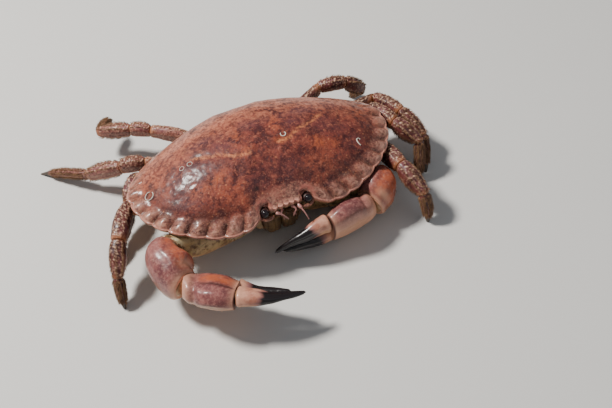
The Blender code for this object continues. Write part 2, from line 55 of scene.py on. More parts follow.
# Shader expressions: a Tone is one socket, and arithmetic on it adds its Math nodes
class Tone:
    def __init__(self, tree, socket=None):
        self.tree = tree
        self.socket = socket

    def make(self, kind, settings=None, sockets=None, out=0):
        node = self.tree.nodes.new(kind)
        for key, value in (settings or {}).items():
            setattr(node, key, value)
        for key, value in (sockets or {}).items():
            self.feed(node.inputs[key], value)
        return Tone(self.tree, node.outputs[out])

    def feed(self, target, value):
        if isinstance(value, Tone):
            self.tree.links.new(value.socket, target)
        elif isinstance(value, tuple) and len(value) == 3 and len(target.default_value) == 4:
            target.default_value = (*value, 1.0)
        else:
            target.default_value = value

    def math(self, operation, *values, clamp=False):
        settings = {"operation": operation, "use_clamp": clamp}
        return self.make("ShaderNodeMath", settings, dict(enumerate(values)))

    def __add__(self, other):
        return self.math("ADD", self, other)

    __radd__ = __add__

    def __sub__(self, other):
        return self.math("SUBTRACT", self, other)

    def __rsub__(self, other):
        return self.math("SUBTRACT", other, self)

    def __mul__(self, other):
        return self.math("MULTIPLY", self, other)

    def __truediv__(self, other):
        return self.math("DIVIDE", self, other)

    def held(self):
        return self.math("ADD", self, 0.0, clamp=True)

    def step(self, low, high):
        settings = {"interpolation_type": "SMOOTHSTEP"}
        return self.make("ShaderNodeMapRange", settings, {"Value": self, "From Min": low, "From Max": high})

    def mix(self, low, high):
        # low where this tone is 0 and high where it is 1
        return self.make("ShaderNodeMix", {"data_type": "RGBA"}, {0: self, 6: low, 7: high}, out=2)

    def noise(self, scale, detail=3.0, rough=0.6, out=0):
        # this tone is the place where the noise is read; out 1 is its colour
        sockets = {"Vector": self, "Scale": scale, "Detail": detail, "Roughness": rough}
        return self.make("ShaderNodeTexNoise", {}, sockets, out)

    def cells(self, scale):
        return self.make("ShaderNodeTexVoronoi", {}, {"Vector": self, "Scale": scale})

    def moved(self, other, share):
        # this place pushed about by a colour
        pushed = self.make("ShaderNodeVectorMath", {"operation": "SCALE"}, {0: other, "Scale": share})
        return self.make("ShaderNodeVectorMath", {"operation": "ADD"}, {0: self, 1: pushed})

    def mark(self, name):
        return self.make("ShaderNodeAttribute", {"attribute_name": name}, out="Fac")

    def marks(self, names):
        return [self.mark(name) for name in names.split()]

    def place(self):
        return self.make("ShaderNodeTexCoord", out="Object")

    def facing(self):
        # 1 where the surface looks up and -1 where it looks down
        normal = self.make("ShaderNodeNewGeometry", out="Normal")
        return self.make("ShaderNodeSeparateXYZ", {}, {0: normal}, out=2)


def newPaint(name):
    # A material, its first tone, and the place on the object where patterns are read
    material = bpy.data.materials.new(name)
    material.use_nodes = True
    tone = Tone(material.node_tree)
    return material, tone, tone.place()


def layered(color, *layers):
    # Colours laid over one another, each through its own mask
    for mask, tint in layers:
        color = mask.held().mix(color, tint)
    return color


def finishPaint(material, color, roughness, height, relief, coat=0.0, coatRoughness=0.1, specular=0.5):
    tone = Tone(material.node_tree)
    surface = material.node_tree.nodes["Principled BSDF"]
    tone.feed(surface.inputs["Base Color"], color)
    tone.feed(surface.inputs["Roughness"], roughness)
    tone.feed(surface.inputs["Coat Weight"], coat)
    surface.inputs["Coat Roughness"].default_value = coatRoughness
    surface.inputs["Specular IOR Level"].default_value = specular
    bump = tone.make("ShaderNodeBump", {}, {"Height": height, "Distance": relief * mm, "Strength": 1.0})
    tone.feed(surface.inputs["Normal"], bump)
    return material


# Mesh helpers
def unit(v):
    v = np.asarray(v, dtype=float)
    return v / np.linalg.norm(v, axis=-1, keepdims=True)


def square(v, normal):
    # The part of v that is square to a normal, one long
    return unit(v - normal * float(np.dot(v, normal)))


def held(x):
    return np.clip(x, 0, 1)


def bell(x, width, power=2):
    return np.exp(-((x / width) ** power))


def turnsAround(sides):
    # Places of the points of a ring, in turns
    return (np.arange(sides) + 0.5) / sides


def nearTurn(around, turn, width):
    # 1 along one line down a limb, at this share of the way round it
    return bell((around - turn + 0.5) % 1.0 - 0.5, width)[None, :]


def walked(line):
    # Distance walked along a line of points
    return np.concatenate([[0.0], np.cumsum(np.linalg.norm(np.diff(line, axis=0), axis=1))])


def makePiece(name, shape, material, nodes=(), marks=None):
    points, faces = shape
    mesh = bpy.data.meshes.new(name)
    places = crabMiddle + np.asarray(points, dtype=float) * mm
    mesh.from_pydata(places.tolist(), [], faces)
    work = bmesh.new()
    work.from_mesh(mesh)
    bmesh.ops.recalc_face_normals(work, faces=work.faces)
    work.to_mesh(mesh)
    work.free()
    mesh.shade_smooth()
    for key, values in (marks or {}).items():
        mark = mesh.attributes.new(key, "FLOAT", "POINT")
        mark.data.foreach_set("value", np.asarray(values, dtype=np.float32).ravel())
    mesh.materials.append(material)
    piece = bpy.data.objects.new(name, mesh)
    bpy.context.scene.collection.objects.link(piece)
    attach(piece, "root")
    if nodes:
        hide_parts(*nodes)
    return piece


def makeTube(name, grid, material, nodes, marks):
    # A piece of one tube, whose marks are numbers, columns, rows or whole grids
    ends = {}
    for key, value in marks.items():
        value = np.broadcast_to(value, grid.shape[:2])
        ends[key] = np.append(value.ravel(), [value[0].mean(), value[-1].mean()])
    makePiece(name, tubeMesh(grid), material, nodes, ends)


def gridNormals(grid):
    # Outward normals of a grid of rings, given as rings x sides x 3
    around = np.roll(grid, -1, axis=1) - np.roll(grid, 1, axis=1)
    along = np.gradient(grid, axis=0)
    normals = unit(np.cross(around, along) + 1e-12)
    outward = grid - grid.mean(axis=1, keepdims=True)
    return normals * np.sign((normals * outward).sum())


def tubeMesh(grid):
    # Points and faces of a grid of rings: quads between them and a fan on each end
    rings, sides = grid.shape[:2]
    points = np.vstack([grid.reshape(-1, 3), grid[0].mean(axis=0), grid[-1].mean(axis=0)])
    faces = []
    for k in range(rings - 1):
        a, b = k * sides, (k + 1) * sides
        faces += [(a + i, a + (i + 1) % sides, b + (i + 1) % sides, b + i) for i in range(sides)]
    first, last, base = rings * sides, rings * sides + 1, (rings - 1) * sides
    faces += [(first, (i + 1) % sides, i) for i in range(sides)]
    faces += [(last, base + i, base + (i + 1) % sides) for i in range(sides)]
    return points, faces


# Random values on a lattice that repeats, read from places that no shape is lined up with
latticeSize = 32
latticeShift = {"noise": 37.3, "grains": 41.7}
lattice = np.random.default_rng(11).random((latticeSize, latticeSize, latticeSize))
latticeSpots = np.random.default_rng(12).random((latticeSize, latticeSize, latticeSize, 3))


def softNoise(points, size, octaves=1):
    # Smooth noise from -1 to 1 whose lumps are about this many millimetres across
    total = np.zeros(points.shape[:-1])
    share = 1.0
    for _ in range(octaves):
        q = points / size + latticeShift["noise"]
        cell = np.floor(q).astype(int)
        f = q - cell
        f = f * f * (3 - 2 * f)
        value = np.zeros(points.shape[:-1])
        for offset in itertools.product((0, 1), repeat=3):
            offset = np.array(offset)
            w = np.prod(np.where(offset, f, 1 - f), axis=-1)
            i, j, k = np.moveaxis((cell + offset) % latticeSize, -1, 0)
            value += w * lattice[i, j, k]
        total += share * (value * 2 - 1)
        size, share = size * 0.5, share * 0.5
    return total


def grains(points, size):
    # Distance to the nearest scattered spot, over the size of a cell
    q = points / size + latticeShift["grains"]
    cell = np.floor(q).astype(int)
    best = np.full(points.shape[:-1], 9.0)
    for offset in itertools.product((-1, 0, 1), repeat=3):
        near = cell + np.array(offset)
        i, j, k = np.moveaxis(near % latticeSize, -1, 0)
        gap = near + latticeSpots[i, j, k] - q
        best = np.minimum(best, np.sqrt((gap * gap).sum(axis=-1)))
    return best


# Shell
shell = {
    "halfWidth": 80.0, "frontReach": 52.2, "rearReach": 45.0, "rearFlat": 17.0, "frontPower": 2.25,
    "sideBend": 14.5, "rearBend": 54.0,
    "frontRecess": 7.0, "edgeHeight": 36.0, "pitch": 0.0436, "edgeDip": 4.7, "faceRise": 2.9,
    "rearDrop": 6.0, "domeHeight": 23.0, "floor": 18.5, "edgeThick": 2.4, "rimBulge": 0.5,
    "lobes": 9, "lobeStart": 17.7, "lobePitch": 10.85, "lobeDepth": 1.2, "plainLobe": 0.8,
    "lobeHeight": 2.5, "lobeReach": 4.6, "channelDepth": 0.65, "reliefShare": 0.9,
    "toothDepth": 1.7, "toothPitch": 3.45, "teethEnd": 8.6,
    "orbitX": 13.1, "orbitY": -44.6, "orbitDepth": 4.2, "orbitHalf": 3.4,
    # Points around, rings of the top, the underside and the rim, and where the rings of the top thin out
    "around": 1200, "rings": 190, "underRings": 50, "underCrowding": 1.25, "rimRings": 7,
    "thinFrom": 0.62, "thinnest": 16, "underInset": 9.0, "crownInset": 60.0,
}
lobeEnd = shell["lobeStart"] + shell["lobes"] * shell["lobePitch"]
# The breast plate: corners of one half of its outline from front to rear, and its heights
breastCorners = ((13.0, -31.0), (27.0, -13.0), (28.5, 0.0), (27.5, 12.0), (22.5, 23.0), (14.0, 32.0))
breastTop = 18.2
breastBottom = 3.3


def edgeLine():
    # Arc lengths and plan points of the plain edge, front middle to rear middle on the +X side
    s = shell
    t = np.linspace(0.0, math.pi / 2, 400)
    power = 2 / s["frontPower"]
    front = np.column_stack([s["halfWidth"] * np.sin(t) ** power, -s["frontReach"] * np.cos(t) ** power])
    t = np.linspace(0.0, 1.0, 200)[1:, None]
    p0 = np.array([s["halfWidth"], 0.0])
    p1 = np.array([s["halfWidth"], s["sideBend"]])
    p2 = np.array([s["rearBend"], 0.8 * s["rearReach"]])
    p3 = np.array([s["rearFlat"], s["rearReach"]])
    rear = (1 - t) ** 3 * p0 + 3 * (1 - t) ** 2 * t * p1 + 3 * (1 - t) * t**2 * p2 + t**3 * p3
    flat = np.linspace(0.0, 1.0, 40)[1:, None] * (np.array([0.0, s["rearReach"]]) - p3) + p3
    line = np.vstack([front, rear, flat])
    return walked(line), line


edgeArc, edgeLinePoints = edgeLine()


def edgeAt(arc):
    return np.column_stack([np.interp(arc, edgeArc, edgeLinePoints[:, k]) for k in (0, 1)])


def lobeWave(arc):
    # 0 in the notches between the edge lobes and 1 on the crests
    s = shell
    wave = np.abs(np.sin(math.pi * (arc - s["lobeStart"]) / s["lobePitch"])) ** 0.55
    return np.where((arc < s["lobeStart"]) | (arc > lobeEnd), s["plainLobe"], wave)


def edgeFrame(arc):
    # Plan points, outward normals and heights of the edge
    s = shell
    plain = edgeAt(arc)
    ahead, behind = edgeAt(np.minimum(arc + 0.5, edgeArc[-1])), edgeAt(np.maximum(arc - 0.5, 0.0))
    tangent = unit(ahead - behind)
    normal = np.column_stack([tangent[:, 1], -tangent[:, 0]])
    x, y = plain.T
    width = 2 * s["halfWidth"]
    y = y + s["frontRecess"] * np.where(y < 0, bell(x, 0.13 * width, 4), 0.0)
    z = s["edgeHeight"] - s["pitch"] * y
    front = s["faceRise"] * bell(x, 0.12 * width, 4)
    front = front - s["edgeDip"] * bell(x / width - 0.236, 0.13)
    rear = -s["rearDrop"] * (np.maximum(y, 0) / s["rearReach"]) ** 1.5
    return np.column_stack([x, y]), normal, z + np.where(y < 0, front, rear)


def edgeOffset(arc):
    # How far the edge stands out of the plain outline: lobes, frontal teeth and eye notches
    s = shell
    x, y = edgeAt(arc).T
    lobes = s["lobeDepth"] * (lobeWave(arc) - 0.6)
    teeth = s["toothDepth"] * (np.abs(np.cos(math.pi * x / s["toothPitch"])) ** 0.8 - 0.4)
    notch = -s["orbitDepth"] * np.maximum(0.0, 1.0 - ((x - s["orbitX"]) / s["orbitHalf"]) ** 2) ** 0.6
    notch = notch - 0.4 * s["toothDepth"]
    front = np.where(x < s["teethEnd"], teeth, np.where(arc < s["lobeStart"], notch, lobes))
    return np.where((y > -20) & (arc > 60), lobes, front)


def breastRadius(plan):
    # Distance from the middle to the breast plate outline towards each plan point
    corners = [(0.0, breastCorners[0][1]), *breastCorners, (0.0, breastCorners[-1][1])]
    way = unit(np.column_stack([np.abs(plan[:, 0]), plan[:, 1]]))
    best = np.full(len(plan), 1e9)
    for (ax, ay), (bx, by) in zip(corners, corners[1:]):
        cross = way[:, 0] * (by - ay) - way[:, 1] * (bx - ax)
        cross = np.where(np.abs(cross) < 1e-9, 1e-9, cross)
        reach = (ax * (by - ay) - ay * (bx - ax)) / cross
        share = (ax * way[:, 1] - ay * way[:, 0]) / cross
        best = np.where((reach > 0) & (share > -1e-6) & (share < 1 + 1e-6), np.minimum(best, reach), best)
    return best


def shellTop(arc, sign, rho):
    # The upper side at a share of the way from the middle to the edge
    s = shell
    plan, normal, z = edgeFrame(arc)
    reach = np.where(arc < s["teethEnd"], 0.022, np.where(arc < s["lobeStart"], 0.055, 0.085))
    fade = bell(1.0 - rho, reach)
    spread = plan * rho + normal * (edgeOffset(arc) * fade)[:, None]
    base = s["edgeHeight"] - s["pitch"] * spread[:, 1]
    lift = (z - (s["edgeHeight"] - s["pitch"] * plan[:, 1])) * rho**4
    power = 1.18 - 0.34 * held((spread[:, 1] + 10.0) / (s["rearReach"] + 10.0))
    dome = s["domeHeight"] * (1.0 - rho**2.3) ** power
    return np.column_stack([sign * spread[:, 0], spread[:, 1], base + lift + dome])


def shellUnder(arc, sign, share):
    # The underside at a share of the way from the edge to the breast plate
    s = shell
    plan, normal, z = edgeFrame(arc)
    face = np.where(plan[:, 1] < 0, bell(plan[:, 0], 20.0, 4), 0.0)
    thick = s["edgeThick"] + 2.8 * face
    stand = edgeOffset(arc) * bell(share, 0.12) - 0.5
    stand = np.where(arc < s["teethEnd"], 0.35 * stand - 0.9, stand)  # the face below the teeth lies back
    outer = plan + normal * stand[:, None]
    inner = plan / np.linalg.norm(plan, axis=1)[:, None] * breastRadius(plan)[:, None]
    spot = outer * (1 - share) + inner * share
    bend = share**1.9
    return np.column_stack([sign * spot[:, 0], spot[:, 1], (z - thick) * (1 - bend) + s["floor"] * bend])


def blobs(x, y, spots):
    # Soft ovals, each given as its middle, its two radii and its strength
    total = np.zeros_like(x)
    for cx, cy, rx, ry, strength in spots:
        total = total + strength * bell(x - cx, rx) * bell(y - cy, ry)
    return total


def lineGap(x, y, line):
    # Distance from plan points to a line of points
    best = np.full_like(x, 1e9)
    for (ax, ay), (bx, by) in zip(line, line[1:]):
        ex, ey = bx - ax, by - ay
        t = held(((x - ax) * ex + (y - ay) * ey) / (ex * ex + ey * ey))
        best = np.minimum(best, np.hypot(x - ax - t * ex, y - ay - t * ey))
    return best


def orbitGap(points):
    # Distance in plan to the middle of the eye notch
    return np.hypot(np.abs(points[:, 0]) - shell["orbitX"], points[:, 1] - shell["orbitY"])


# Where the colours of the shell lie; spots with a negative x are on the right alone, the rest on both sides
shellMarks = {
    "seam": ((9.0, -15.5), (16.0, -15.0), (22.0, -10.5), (31.0, -6.5), (40.0, -3.0)),
    "warm": (
        (37, -23, 7, 2.5, 0.8), (30, -21, 4, 3, 0.7), (46, -22, 3, 2, 0.6), (12, 0, 4, 7, 0.7),
        (10, -15, 4, 2.5, 0.7), (64, -2, 8, 8, 0.5), (22, 8, 5, 4, 0.4), (45, 4, 6, 4, 0.3),
        (20, -34, 6, 8, 0.3), (30, -32, 7, 6, 0.35),
    ),
    "cool": (
        (30, 5, 14, 4, 0.9), (0, 4, 9, 5, 0.7), (42, -12, 14, 6, 0.5), (22, -4, 8, 4, 0.6),
        (55, -24, 9, 5, 0.5), (14, -32, 7, 6, 0.4), (38, 15, 12, 3, 0.5), (52, 6, 9, 5, 0.4),
        (0, -26, 12, 6, 0.25),
    ),
    "dark": (
        (38, -38, 7, 2.5, 0.9), (15, -36, 6, 4, 0.5), (48, -34, 8, 3, 0.7), (63, -24, 6, 6, 0.5),
        (28, -14, 6, 3, 0.35), (66, -18, 6, 9, 0.5), (-12.5, -34, 1.4, 1.2, 1.0),
        (-57.5, -20, 1.3, 1.1, 1.0), (-42, 6, 3, 2, 0.4),
    ),
}


def shellFields(points):
    # Colour masks and relief of the upper shell, from the place of each point
    x, y = points[:, 0], points[:, 1]
    shift = np.column_stack([softNoise(points + 60.0 * k, 9.0, 2) for k in (1, 2)]) * 2.2
    u, v = x + shift[:, 0], y + shift[:, 1]
    fields = {}
    for key in ("warm", "cool", "dark"):
        both = blobs(np.abs(u), v, [b for b in shellMarks[key] if b[0] >= 0])
        fields[key] = both + blobs(u, v, [b for b in shellMarks[key] if b[0] < 0])
    gap = lineGap(np.abs(x) + 0.35 * shift[:, 0], y + 0.35 * shift[:, 1], shellMarks["seam"])
    fields["seam"] = bell(gap, 1.1)
    # Paler towards the rear: partly the shell's own colour, partly painted sunlight on the rear slope
    fields["sand"] = held((v + 4.0 + 0.12 * (np.abs(u) - 30.0)) / 22.0)
    fields["brow"] = bell(orbitGap(points) - 3.9, 0.9)
    relief = 0.75 * blobs(np.abs(x), y, ((0, -14, 14, 10, 1.0), (36, -4, 17, 15, 1.0), (0, 20, 9, 9, 0.8)))
    relief = relief - 0.55 * bell(gap, 3.0) - 0.5 * blobs(np.abs(x), y, ((8, 7, 3, 5, 1.0),))
    relief = relief + 0.30 * softNoise(points, 11.0, 2) + 0.13 * softNoise(points, 3.2, 2)
    relief = relief + 0.40 * fields["brow"]
    return fields, relief


def stitchRings(rings):
    # Faces between rings of vertex numbers; a ring may have half the count of the one before it
    faces = []
    for outer, inner in zip(rings, rings[1:]):
        count, less = len(outer), len(inner)
        if less == count:
            ahead = [(i + 1) % count for i in range(count)]
            faces += [(outer[i], outer[j], inner[j], inner[i]) for i, j in enumerate(ahead)]
            continue
        for i in range(less):
            a, b, c = outer[2 * i], outer[2 * i + 1], outer[(2 * i + 2) % count]
            d, e = inner[i], inner[(i + 1) % less]
            faces += [(a, b, d), (b, e, d), (b, c, e)]
    return faces


def shellLayers():
    # Rings from the middle of the underside outwards, round the rim, and up to the crown
    s = shell
    half = np.linspace(0.0, edgeArc[-1], s["around"] // 2 + 1)
    arc = np.concatenate([half, half[-2:0:-1]])
    sign = np.concatenate([np.ones(len(half)), -np.ones(len(half) - 2)])
    plan, normal, _ = edgeFrame(arc)
    radius = np.linalg.norm(plan, axis=1)
    layers = []
    for share in np.linspace(1.0, 0.0, s["underRings"]) ** s["underCrowding"]:
        layers.append((shellUnder(arc, sign, share), 1.0, s["underInset"] * share, 1))
    top, under = shellTop(arc, sign, 1.0), shellUnder(arc, sign, 0.0)
    outward = np.column_stack([sign * normal[:, 0], normal[:, 1], np.zeros(len(arc))])
    for angle in np.linspace(0.0, math.pi, s["rimRings"])[1:-1]:
        blend = 0.5 + 0.5 * math.cos(angle)
        rim = under * blend + top * (1 - blend) + outward * s["rimBulge"] * math.sin(angle)
        layers.append((rim, blend, 0.0, 1))
    for k in range(s["rings"]):
        # The rings near the crown are short: they keep every second point, then every fourth and so on
        rho = 1.0 - k / s["rings"]
        step = 1
        while rho < s["thinFrom"] / step and step < s["thinnest"]:
            step *= 2
        layers.append((shellTop(arc, sign, rho), 0.0, (1.0 - rho) * radius, step))
    return arc, layers


def shellMesh():
    s = shell
    arc, layers = shellLayers()
    lobe = lobeWave(arc)
    points, rings, marks = [], [], {"under": [], "inset": [], "lobe": [], "arc": []}
    start = 0
    for layer, below, inset, step in layers:
        picked = layer[::step]
        points.append(picked)
        rings.append(list(range(start, start + len(picked))))
        start += len(picked)
        values = (below, inset, lobe, arc)
        for key, value in zip(marks, values):
            marks[key].append((np.zeros(len(arc)) + value)[::step])
    points.append([(0.0, 0.0, s["edgeHeight"] + s["domeHeight"])])
    crownMarks = (0.0, s["crownInset"], s["plainLobe"], 0.0)
    marks = {key: np.append(np.concatenate(marks[key]), value) for key, value in zip(marks, crownMarks)}
    faces = stitchRings(rings)
    inner = rings[-1]
    faces += [(inner[i], inner[(i + 1) % len(inner)], start) for i in range(len(inner))]
    faces.append(tuple(rings[0]))
    return np.vstack(points), faces, marks


def buildShell(material):
    s = shell
    points, faces, marks = shellMesh()
    fields, relief = shellFields(points)
    inset, arc, upper = marks["inset"], marks["arc"], 1.0 - marks["under"]
    # Rounded lobes along the edge with a channel behind them, and an edge that rounds off
    onLobes = held((arc - s["lobeStart"]) / 6) * held((lobeEnd + 8 - arc) / 8)
    marks["lobe"] = s["plainLobe"] + (marks["lobe"] - s["plainLobe"]) * onLobes
    bulge = s["lobeHeight"] * (marks["lobe"] ** 2.2 - 0.45) * bell(inset - 2.6, s["lobeReach"])
    channel = s["channelDepth"] * bell(inset - 9.0, 2.4)
    relief = relief * np.clip(inset / 6.0, 0.15, 1.0) + (bulge * held(inset) - channel) * onLobes
    relief = relief - 0.5 * held(1.0 - inset / 1.4) ** 2 * held(inset / 0.3)
    relief = relief + 0.6 * bell(orbitGap(points) - 4.6, 2.2) * held(inset / 0.5)
    grain = held(0.40 - grains(points, 1.25)) / 0.40
    nearEdge = bell(np.maximum(inset - 5.0, 0), 9.0)
    relief = relief + (0.05 + 0.12 * nearEdge) * grain
    marks["grain"] = grain * nearEdge
    below = 0.25 * softNoise(points, 6.0, 2) + 0.05 * softNoise(points, 1.6)
    push = np.where(upper > 0.01, relief * upper, below * held(inset / 4.0))
    marks.update(fields)
    # The front of the underside, darkened as painted shade under the shell's front
    marks["cheek"] = marks["under"] * held((-22.0 - points[:, 1]) / 10.0)
    # Pale tips on the front teeth, partly their own colour and partly painted highlight
    marks["tooth"] = (arc < s["teethEnd"]) * held(1.0 - inset / 1.2)
    marks["tooth"] = marks["tooth"] * np.abs(np.cos(math.pi * points[:, 0] / s["toothPitch"])) ** 2
    points[:, 2] += push * s["reliefShare"]
    makePiece("shell", (points, faces), material, ("carapace",), marks)


# Limbs: the pair, then knee, wrist, ankle and tip with x outward; a fifth point in front is a hip of its own
limbs = {
    "leg_right_1": (1, ((81.0, 2.0, 28.0), (94.0, -20.0, 28.0), (101.2, -35.8, 17.0), (102.9, -44.6, 0.0))),
    "leg_right_2": (2, ((69.6, 25.0, 24.0), (78.6, 12.5, 17.5), (90.0, -2.5, 8.5), (100.0, -17.0, 0.0))),
    "leg_right_3": (3, ((61.0, 34.0, 24.5), (74.7, 38.6, 23.0), (94.0, 52.0, 12.0), (119.3, 77.0, 0.0))),
    "leg_right_4": (4, (
        (25.0, 43.5, 18.5), (48.5, 60.5, 22.0), (59.5, 66.9, 22.0), (77.0, 77.0, 19.0), (67.0, 87.5, 15.5),
    )),
    "leg_left_1": (1, ((71.6, -15.5, 23.5), (75.7, -38.5, 28.0), (81.0, -57.9, 20.0), (81.5, -63.0, 0.0))),
    "leg_left_2": (2, ((81.6, 14.0, 25.0), (86.9, -7.0, 30.0), (96.0, -22.0, 23.0), (90.6, -32.0, 0.0))),
    "leg_left_3": (3, ((89.0, 25.5, 20.5), (96.0, 2.8, 26.5), (103.5, -13.0, 17.0), (98.5, -27.2, 0.0))),
    "leg_left_4": (4, ((60.0, 46.8, 24.0), (76.4, 43.0, 25.0), (87.8, 42.5, 15.0), (84.0, 53.0, 0.0))),
}
limbForm = {
    # Width and height at the root and the hip, then at the middle and the end of each segment, by leg pair
    "sizes": {
        1: (
            (10.0, 11.0), (8.5, 10.5), (9.5, 14.5), (7.0, 9.0),
            (11.0, 13.0), (8.0, 9.5), (10.0, 12.0), (5.5, 7.0),
        ),
        2: (
            (9.5, 11.0), (7.5, 10.0), (7.6, 13.5), (6.5, 9.0),
            (9.0, 12.0), (7.5, 9.0), (9.0, 11.0), (5.0, 6.5),
        ),
        3: (
            (9.0, 10.5), (7.5, 9.5), (7.6, 12.5), (6.5, 8.0),
            (8.5, 10.5), (6.5, 8.0), (8.5, 10.0), (5.0, 6.5),
        ),
        4: (
            (8.0, 9.5), (7.0, 8.5), (7.5, 10.5), (6.0, 7.5),
            (8.0, 9.5), (6.0, 7.5), (8.0, 9.0), (5.2, 6.3),
        ),
    },
    "toeMiddle": 0.9, "toeTip": 1.7, "rings": 56, "sides": 60, "gap": 0.3, "socketHeight": 10.8,
    # The pale share of the two right rear legs is partly their pale grain and partly painted sunlight
    "pale": {"leg_right_4": 0.55, "leg_right_3": 0.40}, "skinReach": 1.6, "toeRidges": 6,
    # Rows of grains along each segment, in turns round it, then the spacing, height and width of the grains
    "rows": {
        "base": (), "merus": (0.25, 0.20, 0.75), "carpus": (0.25, 0.17, 0.33),
        "propodus": (0.25, 0.14, 0.36, 0.64, 0.86),
    },
    "rowSpots": 1.65, "rowHeight": 0.55, "rowWidth": 0.74, "spotHeight": 0.20,
}


def roundedSection(width, height, sides, power=2.4):
    # Points round an oval that is a little squarer than an ellipse
    angle = 2 * math.pi * turnsAround(sides)
    c, s = np.cos(angle), np.sin(angle)
    u = np.sign(c) * np.abs(c) ** (2 / power) * width / 2
    v = np.sign(s) * np.abs(s) ** (2 / power) * height / 2
    return u, v


def sideAxis(normal, fallback):
    # The level direction across a joint, or the fallback where the limb points straight up or down
    side = np.cross(normal, (0.0, 0.0, 1.0))
    return square(fallback, normal) if np.linalg.norm(side) < 0.2 else unit(side)


def socket(number, sign):
    # Middle and outward normal of a facet of the breast plate, with the claw arm as number 0
    (ax, ay), (bx, by) = breastCorners[number], breastCorners[number + 1]
    flip = np.array([sign, 1.0, 1.0])
    middle = np.array([(ax + bx) / 2, (ay + by) / 2, limbForm["socketHeight"]])
    return middle * flip, unit((by - ay, ax - bx, 0.0)) * flip


def easedShares(rings):
    # Shares of a length that lie closest together at its ends
    return 0.5 - 0.5 * np.cos(math.pi * np.linspace(0, 1, rings))


def plainRows(sizes, rings):
    # Rows of share, width, height and two shifts of the middle
    t = easedShares(rings)[:, None]
    first, middle, last = [np.array(size) for size in sizes]
    spans = first * (1 - t) * (1 - 2 * t) + 4 * middle * t * (1 - t) + last * t * (2 * t - 1)
    return np.hstack([t, spans, np.zeros((rings, 2))])


def limbGrid(ends, normals, sides, rows, bow, gaps, around, steps):
    # Rings of points from one joint plane to the next; steps is the ring count of the plain solid
    start, end = [np.asarray(p, dtype=float) for p in ends]
    axis = unit(end - start)
    rings = len(rows)
    grid = np.zeros((rings, around, 3))
    spread = 0.16 * (steps - 1) / (rings - 1)
    for k, (t, width, height, aside, above) in enumerate(rows):
        w0, w1 = (1 - t) ** 3, t**3
        normal = unit(normals[0] * w0 + normals[1] * w1 + axis * (1 - w0 - w1))
        side = square(sides[0] * (1 - t) + sides[1] * t, normal)
        up = np.cross(side, normal)
        centre = start + (end - start) * t + np.asarray(bow, dtype=float) * math.sin(math.pi * t)
        u, v = roundedSection(width, height, around)
        ring = centre + side * (u + aside)[:, None] + up * (v + above)[:, None]
        lack = gaps[0] + spread * k - (ring - start) @ normals[0]
        ring = ring + normals[0] * (np.full(around, lack) if k == 0 else np.maximum(lack, 0))[:, None]
        lack = gaps[1] + spread * (rings - 1 - k) - (end - ring) @ normals[1]
        grid[k] = ring - normals[1] * (lack if k == rings - 1 else np.maximum(lack, 0))[:, None]
    return grid


def legChain(name, number, joints):
    # Joint points of a leg with the plane and the side direction at each
    sign = 1.0 if "left" in name else -1.0
    flip = np.array([sign, 1.0, 1.0])
    knee, wrist, ankle, tip = [np.array(j) * flip for j in joints[-4:]]
    root, rootNormal = socket(number, sign)
    hip = root + unit(rootNormal + unit(knee - root)) * 10.5
    if len(joints) == 5:
        hip = np.array(joints[0]) * flip
    chain = [root, hip, knee, wrist, ankle, tip]
    ways = [unit(b - a) for a, b in zip(chain, chain[1:])]
    normals = [rootNormal] + [unit(a + b) for a, b in zip(ways, ways[1:])]
    normals.append(np.array([0.0, 0.0, -1.0]) if tip[2] < 0.01 else ways[-1])
    sides = []
    for n in normals[:-1]:
        sides.append(sideAxis(n, sides[-1] if sides else np.array([0.0, 1.0, 0.0])))
    sides.append(square(sides[-1], normals[-1]))
    return chain, ways, normals, sides


segmentNames = ("base", "merus", "carpus", "propodus", "dactyl")


def legGrids(name, number, joints):
    chain, ways, normals, sides = legChain(name, number, joints)
    s = limbForm["sizes"][number]
    toe = [c * limbForm["toeMiddle"] for c in s[7]]
    tip = (limbForm["toeTip"], limbForm["toeTip"])
    sizes = [(s[0], s[0], s[1]), s[1:4], s[3:6], s[5:8], (s[7], toe, tip)]
    gap = limbForm["gap"]
    parts = {}
    for k, part in enumerate(segmentNames):
        up = unit(np.cross(sides[k], ways[k]))
        bow = up * (1.2 if part in ("merus", "carpus", "dactyl") else 0.4)
        bow = -bow if up[2] < 0 else bow
        gaps = (gap if part == "base" else gap / 2, 0.0 if part == "dactyl" else gap / 2)
        steps = 3 if part == "base" else 6
        rows = plainRows(sizes[k], limbForm["rings"])
        span = slice(k, k + 2)
        grid = limbGrid(chain[span], normals[span], sides[span], rows, bow, gaps, limbForm["sides"], steps)
        parts[part] = (grid, rows[:, 0])
    return parts, chain, normals, sides


def rowBumps(grid, around, rows, spacing, width):
    # Rounded grains in rows along a limb, at the given angles in turns
    along = walked(grid.mean(axis=1))
    girth = np.linalg.norm(np.diff(grid, axis=1), axis=2).sum(axis=1)
    bumps = np.zeros(grid.shape[:2])
    for number, turn in enumerate(rows):
        sway = 0.016 * np.sin(along * 1.1 + 2.1 * number) + 0.010 * np.sin(along * 2.9 + number)
        gap = np.abs((around[None, :] - turn - sway[:, None] + 0.5) % 1.0 - 0.5) * girth[:, None]
        drift = 0.37 * number + 0.22 * np.sin(along * 0.8 + number)
        phase = ((along / spacing + drift) % 1.0 - 0.5) * spacing
        size = width * (0.80 + 0.30 * np.sin(along * 1.9 + 1.7 * number))
        reach = np.sqrt(gap**2 + phase[:, None] ** 2) / size[:, None]
        bumps = np.maximum(bumps, held(1.0 - reach**2))
    return bumps


